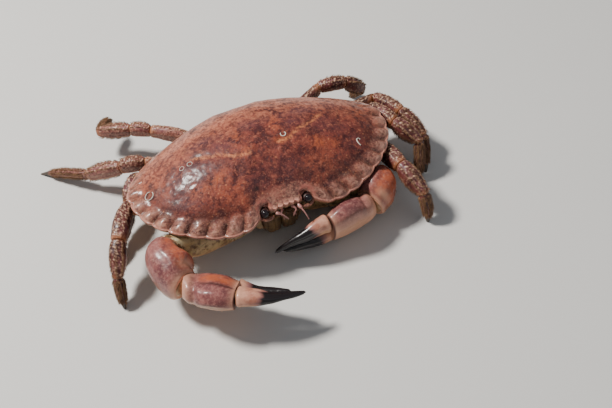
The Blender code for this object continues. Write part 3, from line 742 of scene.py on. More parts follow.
def legRelief(part, grid, shares, seed):
    # Height of the surface detail of one segment, with the masks of its colours
    around = turnsAround(grid.shape[1])
    t = shares[:, None]
    relief = 0.16 * softNoise(grid + seed, 3.5, 2)
    spots = held(0.40 - grains(grid + seed, 1.5)) / 0.40
    if part == "dactyl":
        # Long furrows between hairy ridges, fading to the smooth nail
        nail = held((t - 0.62) / 0.2)
        ridges = 0.20 * np.cos(2 * math.pi * limbForm["toeRidges"] * around) * held(t / 0.1)
        return (relief + ridges) * (1 - nail), {"grain": 0.6 * spots * (1 - nail), "ends": 0.0, "nail": nail}
    bumps = rowBumps(grid, around, limbForm["rows"][part], limbForm["rowSpots"], limbForm["rowWidth"])
    middle = held(np.minimum(t, 1 - t) / 0.08)
    relief = relief - 0.35 * nearTurn(around, 0.52, 0.045) * middle
    if part != "base":
        # A low collar before each end, then a rounded edge into the joint
        relief = relief + 0.16 * bell(1 - t - 0.07, 0.03) - 0.40 * bell(1 - t, 0.015) - 0.30 * bell(t, 0.02)
    relief = relief + (limbForm["rowHeight"] * bumps + limbForm["spotHeight"] * spots) * middle
    grain = np.maximum(bumps, 0.7 * spots) * middle
    return relief, {"grain": grain, "ends": bell(1 - t, 0.09) + 0.5 * bell(t, 0.04), "nail": 0.0}


def jointSkins(chain, normals, sides, plan, share):
    # A flat ball of soft skin in each joint plane, given as joint number, width and height, and reach
    meshes = []
    for k, (width, height), reach in plan:
        axes = (sides[k], np.cross(sides[k], normals[k]), normals[k])
        meshes.append(tubeMesh(ballGrid(chain[k], axes, (share * width, share * height, reach))))
    return meshes


def buildLeg(name, material, skinMaterial, number, joints):
    parts, chain, normals, sides = legGrids(name, number, joints)
    skins = {}
    seed = 50.0 * (list(limbs).index(name) + 1)
    for part, (grid, shares) in parts.items():
        outward = gridNormals(grid)
        relief, marks = legRelief(part, grid, shares, seed)
        lowest = grid[..., 2].min()
        grid = grid + outward * relief[..., None]
        if part == "dactyl":
            grid[..., 2] = np.maximum(grid[..., 2], max(lowest, 0.0))
        marks["pale"] = limbForm["pale"].get(name, 0.0)
        makeTube(f"{name}_{part}_shell", grid, material, (f"{name}_{part}",), marks)
        skins[part] = (grid, outward, shares)
    plan = [(k, limbForm["sizes"][number][2 * k - 1], limbForm["skinReach"]) for k in (1, 2, 3, 4)]
    skinMeshes = jointSkins(chain, normals, sides, plan, 0.43)
    makePiece(f"{name}_joints", joinMeshes(skinMeshes), skinMaterial)
    return skins


def ballGrid(centre, axes, radii, rings=14, around=24):
    # A ball with its own three axes and radii, as a grid with closed poles
    grid = np.zeros((rings, around, 3))
    angle = 2 * math.pi * np.arange(around) / around
    for k, polar in enumerate(np.linspace(0.12, math.pi - 0.12, rings)):
        a = np.cos(angle)[:, None] * axes[0] * radii[0] + np.sin(angle)[:, None] * axes[1] * radii[1]
        grid[k] = centre + a * math.sin(polar) + np.asarray(axes[2]) * radii[2] * math.cos(polar)
    return grid


def joinMeshes(meshes):
    # Several meshes as one, with their points numbered on
    points, faces, start = [], [], 0
    for some, polygons in meshes:
        points.append(some)
        faces += [tuple(i + start for i in face) for face in polygons]
        start += len(some)
    return np.vstack(points), faces


# Claws: side, knee, wrist, finger tip, the way the finger edge faces, outward swell of the carpus
claws = {
    "claw_right": (
        -1, (69.8, -35.5, 27.5), (69.3, -63.4, 26.2), (11.0, -96.2, 25.5), (0.40, -0.763, 0.506), 1.0,
    ),
    "claw_left": (
        1, (62.0, -33.0, 19.5), (50.5, -48.0, 16.5), (-13.0, -54.5, 13.0), (0.0, -0.30, 0.95), 0.3,
    ),
}
clawForm = {
    "sizes": ((15.0, 14.0), (12.0, 13.0), (15.0, 18.0), (12.5, 14.0)), "wrist": (14.5, 17.5),
    "palmLength": 30.0, "sides": 96, "rings": 80,
    # Share of its length, width, height, and how far its middle lies outward and upward
    "carpus": (
        (0.0, 12.5, 14.0, 0.0, 0.0), (0.05, 14.5, 17.0, 1.6, 0.5), (0.15, 17.0, 20.5, 3.8, 1.0),
        (0.35, 20.5, 25.0, 5.4, 1.2), (0.6, 24.5, 27.0, 2.9, 0.6), (0.82, 19.0, 24.6, 3.0, -0.5),
        (0.94, 18.6, 19.0, 1.3, -0.4), (1.0, 17.5, 14.5, 0.0, 0.0),
    ),
    # Distance from the wrist, middle and height towards the finger edge, thickness and middle across
    "palm": (
        (0.0, 0.0, 17.5, 14.5, 0.0), (5.5, 1.2, 22.4, 14.6, 1.6), (10.0, 1.9, 27.0, 15.4, 1.8),
        (16.0, 2.6, 29.1, 16.3, 1.65), (23.0, 3.1, 28.2, 15.5, 2.15), (29.0, 3.0, 24.9, 12.6, 3.0),
    ),
    "pollex": (
        (30.0, -4.6, 9.6, 10.4, 2.2), (34.0, -4.3, 9.0, 9.0, 3.0), (38.0, -4.0, 8.2, 7.4, 3.4),
        (46.0, -2.9, 6.6, 5.6, 2.9), (54.0, -1.9, 4.2, 4.0, 1.7), (59.0, -1.2, 2.0, 2.1, 1.0),
    ),
    # The same for the moving finger, with the share of its length in place of the distance
    "finger": (
        (0.0, 8.4, 13.4, 10.2, 1.4), (0.12, 8.6, 13.6, 9.4, 1.3), (0.3, 8.2, 12.0, 8.3, 1.35),
        (0.5, 6.9, 10.0, 5.8, 1.6), (0.7, 4.9, 7.6, 3.8, 0.9), (0.88, 2.3, 4.6, 2.8, 0.4),
        (1.0, 0.0, 1.8, 1.6, 0.1),
    ),
    "toothPitch": 4.6, "toothHeight": 0.55, "blackStart": 0.27,
    "furrows": ((0.11, 0.018), (0.39, 0.018), (0.0, 0.02), (0.5, 0.02)),
}


def smoothTable(x, table):
    # Smooth curve through rows of numbers, read at x on their first column
    table = np.asarray(table, dtype=float)
    xs, ys = table[:, 0], table[:, 1:]
    slope = np.gradient(ys, xs, axis=0)
    k = np.clip(np.searchsorted(xs, x) - 1, 0, len(xs) - 2)
    h = (xs[k + 1] - xs[k])[:, None]
    t = (x - xs[k])[:, None] / h
    a, b = ys[k], ys[k + 1]
    return (
        a * (2 * t**3 - 3 * t**2 + 1) + slope[k] * h * (t**3 - 2 * t**2 + t)
        + b * (3 * t**2 - 2 * t**3) + slope[k + 1] * h * (t**3 - t**2)
    )


def clawChain(sign, knee, wrist, tip, edgeWay):
    # Joint points of a claw with their planes and sides, its axis, its finger edge and its tip
    flip = np.array([sign, 1.0, 1.0])
    knee, wrist, tip = [np.array(p) * flip for p in (knee, wrist, tip)]
    root, rootNormal = socket(0, sign)
    hip = root + unit(rootNormal + unit(knee - root)) * 13.0
    axis = unit(tip - wrist)
    edge = square(np.array(edgeWay) * flip, axis)
    chain = [root, hip, knee, wrist]
    ways = [unit(b - a) for a, b in zip(chain, chain[1:])] + [axis]
    normals = [rootNormal] + [unit(a + b) for a, b in zip(ways, ways[1:])]
    sides = [sideAxis(n, np.array([0.0, 1.0, 0.0])) for n in normals]
    return chain, normals, sides, axis, edge, tip


def clawRings(wrist, axis, edge, rows, sign, power=2.3):
    # Rings across the claw, each given as distance, middle, height, thickness and middle across
    flat = np.cross(axis, edge)
    grid = np.zeros((len(rows), clawForm["sides"], 3))
    for k, (s, middle, high, thick, aside) in enumerate(rows):
        u, v = roundedSection(thick, high, clawForm["sides"], power)
        centre = wrist + axis * s + edge * middle - flat * aside * sign
        grid[k] = centre + flat * u[:, None] + edge * v[:, None]
    return grid


def palmRows():
    # Down the palm, over the face behind the moving finger, and out along the fixed finger
    palm, pollex = clawForm["palm"], clawForm["pollex"]
    body = np.linspace(palm[0][0], palm[-1][0], 60)
    rows = np.column_stack([body, smoothTable(body, palm)])
    first = np.array(pollex[0])
    steps = ((0.3, 0.03), (0.5, 0.12), (0.65, 0.28), (0.78, 0.5), (0.9, 0.8))
    face = [rows[-1] + (first - rows[-1]) * np.array([g, h, h, h, h]) for g, h in steps]
    reach = np.linspace(pollex[0][0], pollex[-1][0], 60)
    return np.vstack([rows, face, np.column_stack([reach, smoothTable(reach, pollex)])])


def roundEnd(grid, rings=3):
    # Draws the last rings in, so that the tip is a blunt point
    for k, share in enumerate(np.linspace(0.35, 0.75, rings)):
        ring = grid[-rings + k]
        grid[-rings + k] = ring + (ring.mean(axis=0) - ring) * share
    return grid


def buildArm(name, material, sign, chain, normals, sides, swell, seed):
    f = clawForm
    sizes, rings, gap = f["sizes"], f["rings"], limbForm["gap"]
    shares = easedShares(rings)
    carpus = np.column_stack([shares, smoothTable(shares, f["carpus"])])
    carpus[:, 3] *= -sign * swell
    plan = (
        ("base", plainRows((sizes[0], sizes[0], sizes[1]), rings), 4, 0.0),
        ("merus", plainRows(sizes[1:4], rings), 7, -1.2),
        ("carpus", carpus, 8, 0.0),
    )
    skins = {}
    around = turnsAround(f["sides"])
    for k, (part, rows, steps, sag) in enumerate(plan):
        onCarpus = part == "carpus"
        gaps = (gap if k == 0 else gap / 2, gap / 2)
        span = slice(k, k + 2)
        bow = (0.0, 0.0, sag)
        grid = limbGrid(chain[span], normals[span], sides[span], rows, bow, gaps, f["sides"], steps)
        outward = gridNormals(grid)
        t = rows[:, :1]
        relief = 0.30 * softNoise(grid + seed, 7.0, 2) + 0.07 * softNoise(grid + seed, 1.8, 2)
        if onCarpus:
            # A ridge between the outer and the upper face, and two blunt teeth on the inner edge
            relief = relief + 0.9 * nearTurn(around, 0.25, 0.025) * held(t / 0.2) * held((1 - t) / 0.2)
            relief = relief + 1.1 * nearTurn(around, 0.41, 0.08) * bell(t - 0.42, 0.16)
            relief = relief + 1.3 * nearTurn(around, 0.46, 0.07) * bell(t - 0.74, 0.10)
        else:
            relief = relief + 0.18 * bell(1 - t - 0.06, 0.025)
        relief = relief - 0.45 * bell(1 - t, 0.015) - 0.40 * bell(t, 0.015)
        grain = held(0.36 - grains(grid + seed, 2.3)) / 0.36
        upper = held((around - 0.235) / 0.06) * held((0.62 - around) / 0.10)
        tooth = nearTurn(around, 0.38, 0.08) * bell(t - 0.80, 0.09)
        marks = {
            "grain": grain, "black": 0.0, "line": 0.0, "pale": float(not onCarpus),
            "ends": np.maximum(bell(1 - t, 0.08) + 0.4 * bell(t, 0.05), onCarpus * tooth),
            "warm": onCarpus * upper * held((0.98 - t) / 0.2),
        }
        grid = grid + outward * (relief + 0.10 * grain)[..., None]
        skins[part] = (grid, outward, rows[:, 0])
        makeTube(f"{name}_{part}_shell", grid, material, (f"{name}_{part}",), marks)
    return skins


def buildPalm(name, material, sign, wrist, axis, edge, plane, seed):
    f = clawForm
    around = turnsAround(f["sides"])
    rows = palmRows()
    s = rows[:, :1]
    grid = clawRings(wrist, axis, edge, rows, sign)
    lack = limbForm["gap"] / 2 - (grid - wrist) @ plane + np.linspace(0, 3.0, len(rows))[:, None]
    grid = grid + plane * np.where(s < 16, np.maximum(lack, 0), 0)[..., None]
    outward = gridNormals(grid)
    back = 0.5 if sign < 0 else 0.0
    relief = 0.26 * softNoise(grid + seed, 7.0, 2) + 0.07 * softNoise(grid + seed, 1.8, 2)
    relief = relief * held((s + 2) / 8)
    # A knuckle beside the wrist, low ridges down the palm, and a sharp groove below its upper edge
    relief = relief + 0.7 * bell(s - 3.0, 2.2) * (nearTurn(around, 0.25, 0.13) + 0.5)
    relief = relief - 0.8 * bell(s - 6.6, 1.1) * nearTurn(around, 0.25, 0.15)
    relief = relief + 0.18 * np.cos(around * 2 * math.pi * 9) * bell(s - 19, 8)
    line = nearTurn(around, back + 0.062 * sign, 0.012) * held((s - 7) / 4) * held((29.5 - s) / 2)
    # Teeth along the cutting edge of the fixed finger, and a furrow down each of its sides
    teeth = np.abs(np.sin(math.pi * (s - 31.0) / f["toothPitch"])) ** 0.7 * held((58 - s) / 6)
    furrow = (nearTurn(around, 0.0, 0.02) + nearTurn(around, 0.5, 0.02)) * held((58 - s) / 8)
    onFinger = f["toothHeight"] * teeth * nearTurn(around, 0.25, 0.05) - 0.25 * furrow
    relief = relief - 0.55 * line + onFinger * held((s - 31.0) / 2.0)
    grid = roundEnd(grid + outward * relief[..., None])
    # The back is warm between two paler edges, and the fixed finger turns black towards its tip
    share = np.clip((s - 30.0) / 29.0, -1, 1)
    band = held((0.5 - np.abs((around - back + 0.5) % 1.0 - 0.5) / 0.120) * 4)
    low = 0.9 * nearTurn(around, (back + 0.5) % 1.0, 0.13) * held((31 - s) / 3)
    wave = 0.05 * softNoise(grid + seed, 5.0)
    marks = {
        "grain": 0.0, "pale": 0.0, "black": held((share + wave - 0.10) / 0.16),
        "ends": bell(s - 31.0, 3.5) + 0.8 * bell(s, 4.5) + low,
        "warm": band * held((s - 6) / 5) * held((31 - s) / 4),
        # The line mark darkens the groove below the upper edge and the hinge crease: painted shade
        "line": line + bell(s - 29.4, 0.5) * (1 - nearTurn(around, back, 0.10)),
    }
    makeTube(f"{name}_palm_shell", grid, material, (f"{name}_palm",), marks)


def buildFinger(name, material, sign, wrist, axis, edge, length, seed):
    f = clawForm
    around = turnsAround(f["sides"])
    first = f["palmLength"] + 0.35
    shares = np.linspace(0, 1, 100) ** 0.95
    rows = np.column_stack([first + (length - first) * shares, smoothTable(shares, f["finger"])])
    grid = clawRings(wrist, axis, edge, rows, sign)
    outward = gridNormals(grid)
    t = shares[:, None]
    toTip = held((1 - t) / 0.2)
    teeth = np.abs(np.cos(math.pi * t * (length - first) / f["toothPitch"])) ** 0.7 * held(t / 0.1) * toTip
    furrows = sum(nearTurn(around, turn, width) for turn, width in f["furrows"])
    furrows = furrows * held((t - 0.12) / 0.15) * held((1 - t) / 0.3)
    relief = 0.15 * softNoise(grid + seed, 6.0, 2) * toTip - 0.30 * furrows
    relief = relief + f["toothHeight"] * teeth * nearTurn(around, 0.75, 0.05)
    relief = relief - 0.5 * bell(t, 0.012) + 0.22 * bell(t - 0.05, 0.03)
    grid = roundEnd(grid + outward * relief[..., None])
    # The black tip begins along a streaky line that slants round the finger
    streaks = np.stack(np.broadcast_arrays(t * 4, around[None, :] * 22, 0 * t), axis=-1)
    lean = np.cos(2 * math.pi * (around - (0.5 if sign < 0 else 0.0)))
    black = held((t + 0.05 * (softNoise(streaks, 1.0, 2) - lean) - f["blackStart"]) / 0.13)
    marks = {
        "grain": 0.0, "pale": 0.0, "warm": 0.0, "black": black,
        # The line at the finger's base is painted shade in the hinge crease
        "ends": 0.7 * bell(t, 0.10), "line": bell(t, 0.012),
    }
    makeTube(f"{name}_finger_shell", grid, material, (f"{name}_finger",), marks)


def buildClaw(name, material, tipMaterial, skinMaterial, sign, knee, wrist, tip, edgeWay, swell):
    f = clawForm
    chain, normals, sides, axis, edge, tip = clawChain(sign, knee, wrist, tip, edgeWay)
    seed = 350.0 + 50.0 * sign
    skins = buildArm(name, material, sign, chain, normals, sides, swell, seed)
    length = float(np.linalg.norm(tip - chain[3]))
    buildPalm(name, material, sign, chain[3], axis, edge, normals[3], seed)
    buildFinger(name, tipMaterial, sign, chain[3], axis, edge, length, seed)
    # Soft skin in the joints, standing out most at the knee, and in the hinge of the moving finger
    plan = ((1, f["sizes"][1], 1.6), (2, f["sizes"][3], 2.4), (3, f["wrist"][::-1], 1.8))
    meshes = jointSkins(chain, normals, sides, plan, 0.45)
    flat = np.cross(axis, edge)
    hinge = chain[3] + axis * (f["palmLength"] + 0.2) + edge * 8.0 - flat * 1.6 * sign
    meshes.append(tubeMesh(ballGrid(hinge, (flat, edge, axis), (4.0, 5.4, 1.0))))
    makePiece(f"{name}_joints", joinMeshes(meshes), skinMaterial)
    return skins


# Underside
def buildBreast(material):
    corners = np.array([*breastCorners, *[(-x, y) for x, y in breastCorners[::-1]]])
    shares = np.linspace(0, 1, 17)[:-1]
    ahead = np.roll(corners, -1, axis=0)
    outline = np.vstack([a + (b - a) * shares[:, None] for a, b in zip(corners, ahead)])
    seam = np.tile(bell(np.minimum(shares, 1 - shares), 0.10), len(corners))
    # Height, scale of the outline, and how far the seams and lumps show there
    levels = [(breastTop, 1.0, 0.0), (12.0, 1.0, 0.0), (7.6, 0.995, 0.3), (6.4, 0.975, 0.6)]
    levels += [(5.0, 0.92, 0.9), (3.9, 0.85, 1.0), (breastBottom + 0.1, 0.78, 1.0)]
    levels += [(breastBottom, scale, 1.0) for scale in np.linspace(0.72, 0.02, 22)]
    grid = np.zeros((len(levels), len(outline), 3))
    for k, (z, scale, under) in enumerate(levels):
        cut = 0.9 * seam * under * held(scale / 0.5)
        lump = 0.25 * softNoise(np.column_stack([outline * scale, 0 * seam]), 5.0, 2) * under
        grid[k] = np.column_stack([outline * scale, z + cut + np.maximum(lump, 0)])
    marks = {"seam": np.append(np.tile(seam, len(levels)), [0, 0])}
    makePiece("breast", tubeMesh(grid), material, ("sternum",), marks)


def buildAbdomen(material):
    thick, flat = 3.0, 22
    back = breastCorners[-1][1] + limbForm["gap"] + thick / 2
    # Place behind, height, width and turn of the tail, from under the shell round to its tip
    path = np.array((
        (back + 10.0, 23.0, 12.0, 0.75), (back + 5.5, 19.6, 15.0, 0.85), (back + 1.7, 14.6, 18.0, 1.2),
        (back + 0.2, 9.0, 22.0, 1.5), (back - 0.7, 5.0, 25.0, 1.05), (back - 3.6, 2.1, 27.0, 0.4),
        (25.0, 1.5, 29.0, 0.0), (17.0, 1.5, 31.0, 0.0), (9.0, 1.5, 29.0, 0.0), (2.0, 1.5, 24.0, 0.0),
        (-4.0, 1.5, 16.0, 0.0), (-9.0, 1.5, 6.0, 0.0),
    ))
    walk = walked(path[:, :2])
    fine = np.linspace(0, walk[-1], 150)
    rows = np.column_stack([np.interp(fine, walk, column) for column in path.T])
    segments = 7
    phase = (fine / walk[-1] * segments) % 1.0
    seam = bell(np.minimum(phase, 1 - phase), 0.07)
    turn = np.linspace(0, math.pi, 60)[1:-1]
    grid = []
    for (y, z, width, angle), joint in zip(rows, seam):
        half = width / 2 * (1 - 0.04 * joint)
        # Flat inner face, then the outer face with its sunk joints and a raised middle
        u = np.concatenate([np.linspace(-half, half, flat), half * np.cos(turn)])
        outer = -thick / 2 * np.sin(turn) ** 0.35 + 0.55 * joint * np.sin(turn)
        outer = outer + 0.30 * bell(np.abs(np.cos(turn)) - 0.45, 0.08)
        v = np.concatenate([np.full(flat, thick / 2), outer])
        grid.append(np.column_stack([u, y - v * math.sin(angle), np.maximum(z + v * math.cos(angle), 0.0)]))
    marks = {"seam": np.append(np.repeat(seam, len(grid[0])), [0, 0])}
    makePiece("tail", tubeMesh(np.array(grid)), material, ("abdomen",), marks)
    return rows


# Mouth and head
head = {
    "eyeStart": (-42.0, 37.7), "eyeWay": (0.05, -1.0, 0.18), "ballAt": 3.6, "ballRadius": 2.42,
    "orbitEdge": ((16.4, -44.6, 35.2), (13.4, -48.2, 33.4), (8.6, -46.9, 35.5)),
    "feelerFoot": (6.6, -46.3, 36.6), "lashReach": {1.0: (3.0, -7.5, -6.0), -1.0: (5.5, -3.8, -4.5)},
    "lashRings": 90, "antennuleFoot": (2.9, -45.2, 36.4),
    # Share of the lash and its thickness there
    "lashSizes": (
        (0.0, 2.5), (0.10, 2.5), (0.12, 2.1), (0.15, 2.2), (0.24, 1.8),
        (0.26, 1.4), (0.30, 1.3), (0.36, 1.0), (1.0, 0.55),
    ),
    # Points across the front and the back of an outer mouth plate, then the plate height by height:
    # how far forward it stands, its thickness and its two sides
    "plateFace": 48, "plateBack": 16,
    "plate": (
        (5.5, 0.0, 3.2, 0.6, 9.0), (11.0, 0.0, 3.6, 0.3, 11.0), (17.5, 0.0, 3.6, 0.3, 11.5),
        (23.0, -3.6, 3.4, 0.3, 11.3), (28.0, -7.6, 3.0, 0.3, 10.6), (31.0, -10.0, 2.4, 0.6, 8.0),
    ),
}


def buildMouthPlate(name, material, sign):
    front = breastCorners[0][1] - limbForm["gap"]
    heights = np.linspace(head["plate"][0][0], head["plate"][-1][0], 110)
    turn = np.linspace(0, math.pi, head["plateFace"])
    u = np.concatenate([-np.cos(turn), np.linspace(0.96, -0.96, head["plateBack"])])
    v = np.concatenate([np.sin(turn) ** 0.45, np.zeros(head["plateBack"])])
    grid = []
    for z, (dy, thick, x0, x1) in zip(heights, smoothTable(heights, head["plate"])):
        across = (x0 + x1) / 2 + (x1 - x0) / 2 * u
        # Joints between the segments, the groove along each and the palp folded at the inner corner
        cut = 0.9 * bell(z - 19.0, 0.45) + 0.5 * bell(across - 8.6 + (z - 12) * 0.03, 0.4)
        cut = cut + 0.35 * bell(across - 4.2, 0.7) * (z < 18)
        cut = cut + 0.4 * bell(across - 1.9 - 0.25 * (z - 20), 0.4) * (z > 20)
        palp = 0.8 * bell(across - 2.2, 1.6) * bell(z - 24.5, 3.4)
        depth = np.maximum(thick * v + (palp - cut) * (v > 0.4), 0.0)
        grid.append(np.column_stack([sign * across, front + dy - depth, np.full(len(u), z)]))
    grid = np.array(grid)
    points, faces = tubeMesh(grid)
    marks = {"grain": held(softNoise(points, 2.5, 2))}
    makePiece(f"{name}_plate", (points, faces), material, (name,), marks)
    return grid


def tubeAlong(line, sizes, around=20):
    # A tube through a line of points, with its thickness at each
    line = np.asarray(line, dtype=float)
    ways = unit(np.gradient(line, axis=0))
    angle = 2 * math.pi * np.arange(around) / around
    grid = []
    for spot, way, size in zip(line, ways, sizes):
        side = unit(np.cross(way, (0.0, 0.0, 1.0)) + 1e-9)
        up = np.cross(side, way)
        grid.append(spot + size / 2 * (side * np.cos(angle)[:, None] + up * np.sin(angle)[:, None]))
    return np.array(grid)


def bezier(a, b, c, steps):
    # A curve from a to c, drawn towards b
    t = np.linspace(0, 1, steps)[:, None]
    return np.array(a) * (1 - t) ** 2 + np.array(b) * 2 * t * (1 - t) + np.array(c) * t**2


def buildEye(name, ballMaterial, stalkMaterial, rimMaterial, sign):
    start = np.array([sign * shell["orbitX"], *head["eyeStart"]])
    way = unit((sign * head["eyeWay"][0], *head["eyeWay"][1:]))
    side = unit(np.cross(way, (0.0, 0.0, 1.0)))
    up = np.cross(side, way)
    axes = (side, up, way)
    centre = start + way * head["ballAt"]
    r = head["ballRadius"]
    ball = tubeMesh(ballGrid(centre, axes, (r, r, r * 0.97), 44, 60))
    makePiece(f"{name}_ball", ball, ballMaterial, (name,))
    # The stalk widens into a socket behind and below the ball; stalk and socket are painted near black as
    # the shade in the orbit
    cup = tubeMesh(ballGrid(centre - way * 1.75 - up * 0.75, axes, (3.0, 2.75, 2.6), 24, 40))
    stalk = tubeMesh(tubeAlong([start - way * 1.0, start, start + way * 2.0], (3.4, 2.8, 4.2)))
    makePiece(f"{name}_stalk", joinMeshes([cup, stalk]), stalkMaterial)
    # The lower edge of the orbit, with a tooth at its inner end
    line = bezier(*head["orbitEdge"], 40) * np.array([sign, 1.0, 1.0])
    sizes = np.interp(np.linspace(0, 1, 40), (0.0, 0.3, 0.7, 0.9, 1.0), (2.4, 2.4, 2.2, 2.2, 0.5))
    makePiece(f"{name}_rim", tubeMesh(tubeAlong(line, sizes, 24)), rimMaterial)


def buildFeeler(name, material, sign):
    foot = np.array([sign * head["feelerFoot"][0], *head["feelerFoot"][1:]])
    x, y, z = head["lashReach"][sign]
    shares = np.linspace(0, 1, head["lashRings"])
    line = foot + np.column_stack([x * shares, y * shares**0.8, z * shares**1.9])
    sizes = np.interp(shares, *np.transpose(head["lashSizes"]))
    # The lash is made of many short rings
    sizes = sizes * (1.0 + np.where(shares > 0.38, 0.08 * (-1.0) ** np.arange(len(shares)), 0.0))
    makePiece(f"{name}_lash", tubeMesh(tubeAlong(line, sizes)), material, (name,))


def buildAntennules(material):
    # The small inner feelers beneath the front teeth, each a thick foot, an elbow and two short whips
    meshes = []
    steps = np.linspace(0, 1, 24)
    foot = np.array(head["antennuleFoot"])
    elbow, wrist = foot + (1.6, -2.0, -0.6), foot + (0.4, -3.0, -2.2)
    plan = (
        (foot, foot + (1.3, -1.4, 0.3), elbow, 1.7 - 0.5 * steps),
        (elbow, elbow + (0.3, -1.0, -0.6), wrist, 1.2 - 0.4 * steps),
        (wrist, wrist + (-0.8, -0.8, -0.8), wrist + (-1.0, -0.9, -2.2), 0.7 - 0.3 * steps),
        (wrist, wrist + (0.4, -0.8, -0.4), wrist + (0.4, -1.2, -1.8), 0.6 - 0.3 * steps),
    )
    for sign in (-1, 1):
        for a, b, c, sizes in plan:
            line = bezier(a, b, c, len(steps)) * np.array([sign, 1.0, 1.0])
            meshes.append(tubeMesh(tubeAlong(line, sizes * (1 + 0.05 * np.cos(steps * 70)), 16)))
    makePiece("antennules", joinMeshes(meshes), material)


# Worm tubes that have grown on the shell
def topHeight(x, y):
    # Height of the shell over one plan point
    arcs = np.linspace(0, edgeArc[-1], 600)
    plan = edgeFrame(arcs)[0]
    arc = np.interp(math.atan2(abs(x), -y), np.arctan2(plan[:, 0], -plan[:, 1]), arcs)
    edge = edgeFrame(np.array([arc]))[0][0]
    rho = float(held(math.hypot(x, y) / np.linalg.norm(edge)))
    z = shellTop(np.array([arc]), 1.0, rho)[0, 2]
    relief = shellFields(np.array([[x, y, z]]))[1]
    return z + float(relief[0]) * shell["reliefShare"]


# Middle in plan, turns, inner and outer radius, start angle and thickness; the last two are plain rings
tubes = (
    (13.0, -11.0, 0.80, 0.8, 2.3, 2.2, 0.30), (56.0, -23.0, 0.60, 0.6, 2.2, 0.6, 0.30),
    (-69.0, -7.0, 0.90, 2.3, 2.5, 1.0, 0.24), (-42.0, -5.0, 1.0, 1.5, 1.5, 4.0, 0.14),
    (-47.0, -5.0, 1.0, 1.3, 1.3, 0.0, 0.14),
)


def buildTubes(material):
    meshes = []
    for x, y, turns, inner, outer, first, size in tubes:
        line = []
        for t in np.linspace(0, 1, 60):
            a = first + 2 * math.pi * turns * t
            r = inner + (outer - inner) * t
            px, py = x + r * math.cos(a), y + r * math.sin(a) - (outer - inner) * max(t - 0.75, 0) * 3
            line.append((px, py, topHeight(px, py) + 0.4 * size))
        meshes.append(tubeMesh(tubeAlong(line, size * np.linspace(1.6, 2.2, 60), 12)))
    makePiece("worm_tubes", joinMeshes(meshes), material)


# Bristles: thin tapered spikes, each a small patch on the unwrap of the skin it grows on
hair = {
    "mouthLength": 2.0, "tailLength": 2.0, "width": 0.16, "patch": 0.003,
    "plateFringe": 220, "plateTuft": 160, "tailFringe": 900, "bodySeed": 77, "legSeed": 100, "clawSeed": 200,
}


def buildHair(name, material, slotName, roots, ways, bends, lengths, spots):
    # Roots, directions, bend directions and lengths of the spikes, and their places on the unwrap
    roots, ways, bends = [np.asarray(v, dtype=float) for v in (roots, ways, bends)]
    lengths = np.asarray(lengths, dtype=float)[:, None]
    ways = unit(ways)
    side = unit(np.cross(ways, bends + 1e-6))
    up = np.cross(side, ways)
    width, count = hair["width"], len(roots)
    points = np.zeros((count, 7, 3))
    for i in range(3):
        a = 2 * math.pi * i / 3
        ring = side * math.cos(a) + up * math.sin(a)
        points[:, i] = roots - ways * 0.15 + ring * width / 2
        points[:, 3 + i] = roots + (ways * 0.55 + bends * 0.12) * lengths + ring * width * 0.36
    points[:, 6] = roots + (ways * 0.92 + bends * 0.42) * lengths
    local = ((0, 2, 1), (0, 1, 4, 3), (1, 2, 5, 4), (2, 0, 3, 5), (3, 4, 6), (4, 5, 6), (5, 3, 6))
    faces = [tuple(k * 7 + i for i in face) for k in range(count) for face in local]
    piece = makePiece(name, (points.reshape(-1, 3), faces), material)
    layer = piece.data.uv_layers.new(name="OFBake")
    corner = np.array(((-1, -1), (1, -1), (0, 0.2), (-0.6, 0), (0.6, 0), (0, 0.6), (0, 1)))
    corner = corner * hair["patch"] / 2
    places = (np.asarray(spots)[:, None, :] * 0.98 + 0.01 + corner[None]).reshape(-1, 2)
    index = np.zeros(len(piece.data.loops), dtype=np.int32)
    piece.data.loops.foreach_get("vertex_index", index)
    layer.data.foreach_set("uv", places[index].astype(np.float32).ravel())


def legRoots(skins, rng, plans):
    # Bristles on a limb: for each segment their number, the turns of their rows and the spread about them,
    # their length, and the shares of the segment between which they stand
    roots, ways, bends, lengths, spots = [], [], [], [], []
    for part, count, turns, spread, length, reach in plans:
        grid, outward, shares = skins[part]
        rings, sides = grid.shape[:2]
        t = rng.uniform(reach[0], reach[1], count)
        row = np.interp(t, shares, np.arange(rings))
        turn = (rng.choice(turns, count) + rng.normal(0, spread, count)) % 1.0
        col = turn * sides - 0.5
        i0 = np.clip(row.astype(int), 0, rings - 2)
        j0 = np.floor(col).astype(int) % sides
        fi, fj = (row - i0)[:, None], (col - np.floor(col))[:, None]
        spot = (grid[i0, j0] * (1 - fj) + grid[i0, (j0 + 1) % sides] * fj) * (1 - fi)
        spot = spot + (grid[i0 + 1, j0] * (1 - fj) + grid[i0 + 1, (j0 + 1) % sides] * fj) * fi
        out = outward[i0, j0]
        along = unit(grid[i0 + 1].mean(axis=1) - grid[i0].mean(axis=1))
        roots.append(spot)
        ways.append(out * 0.75 + along * 0.65 + rng.normal(0, 0.16, (count, 3)))
        bends.append(along)
        lengths.append(length * rng.uniform(0.6, 1.15, count))
        k = list(skins).index(part)
        spots.append(np.column_stack([turn, (k + shares[i0]) / len(skins)]))
    return [np.concatenate(v) for v in (roots, ways, bends, lengths, spots)]


legHairPlan = (
    ("merus", 260, (0.25, 0.75), 0.012, 1.2, (0.15, 0.95)),
    ("carpus", 260, (0.25, 0.17, 0.33, 0.75), 0.012, 1.2, (0.1, 0.95)),
    ("propodus", 900, (0.25, 0.14, 0.36, 0.64, 0.86, 0.75), 0.014, 1.5, (0.06, 0.97)),
    ("dactyl", 2400, tuple((i + 0.5) / 6 for i in range(6)), 0.035, 1.7, (0.03, 0.74)),
)
clawHairPlan = (
    ("base", 120, (0.75,), 0.03, 1.3, (0.2, 0.9)),
    ("merus", 900, (0.25, 0.32, 0.18, 0.75, 0.5), 0.03, 1.1, (0.45, 0.98)),
    ("carpus", 140, (0.5, 0.75), 0.02, 1.1, (0.1, 0.9)),
)


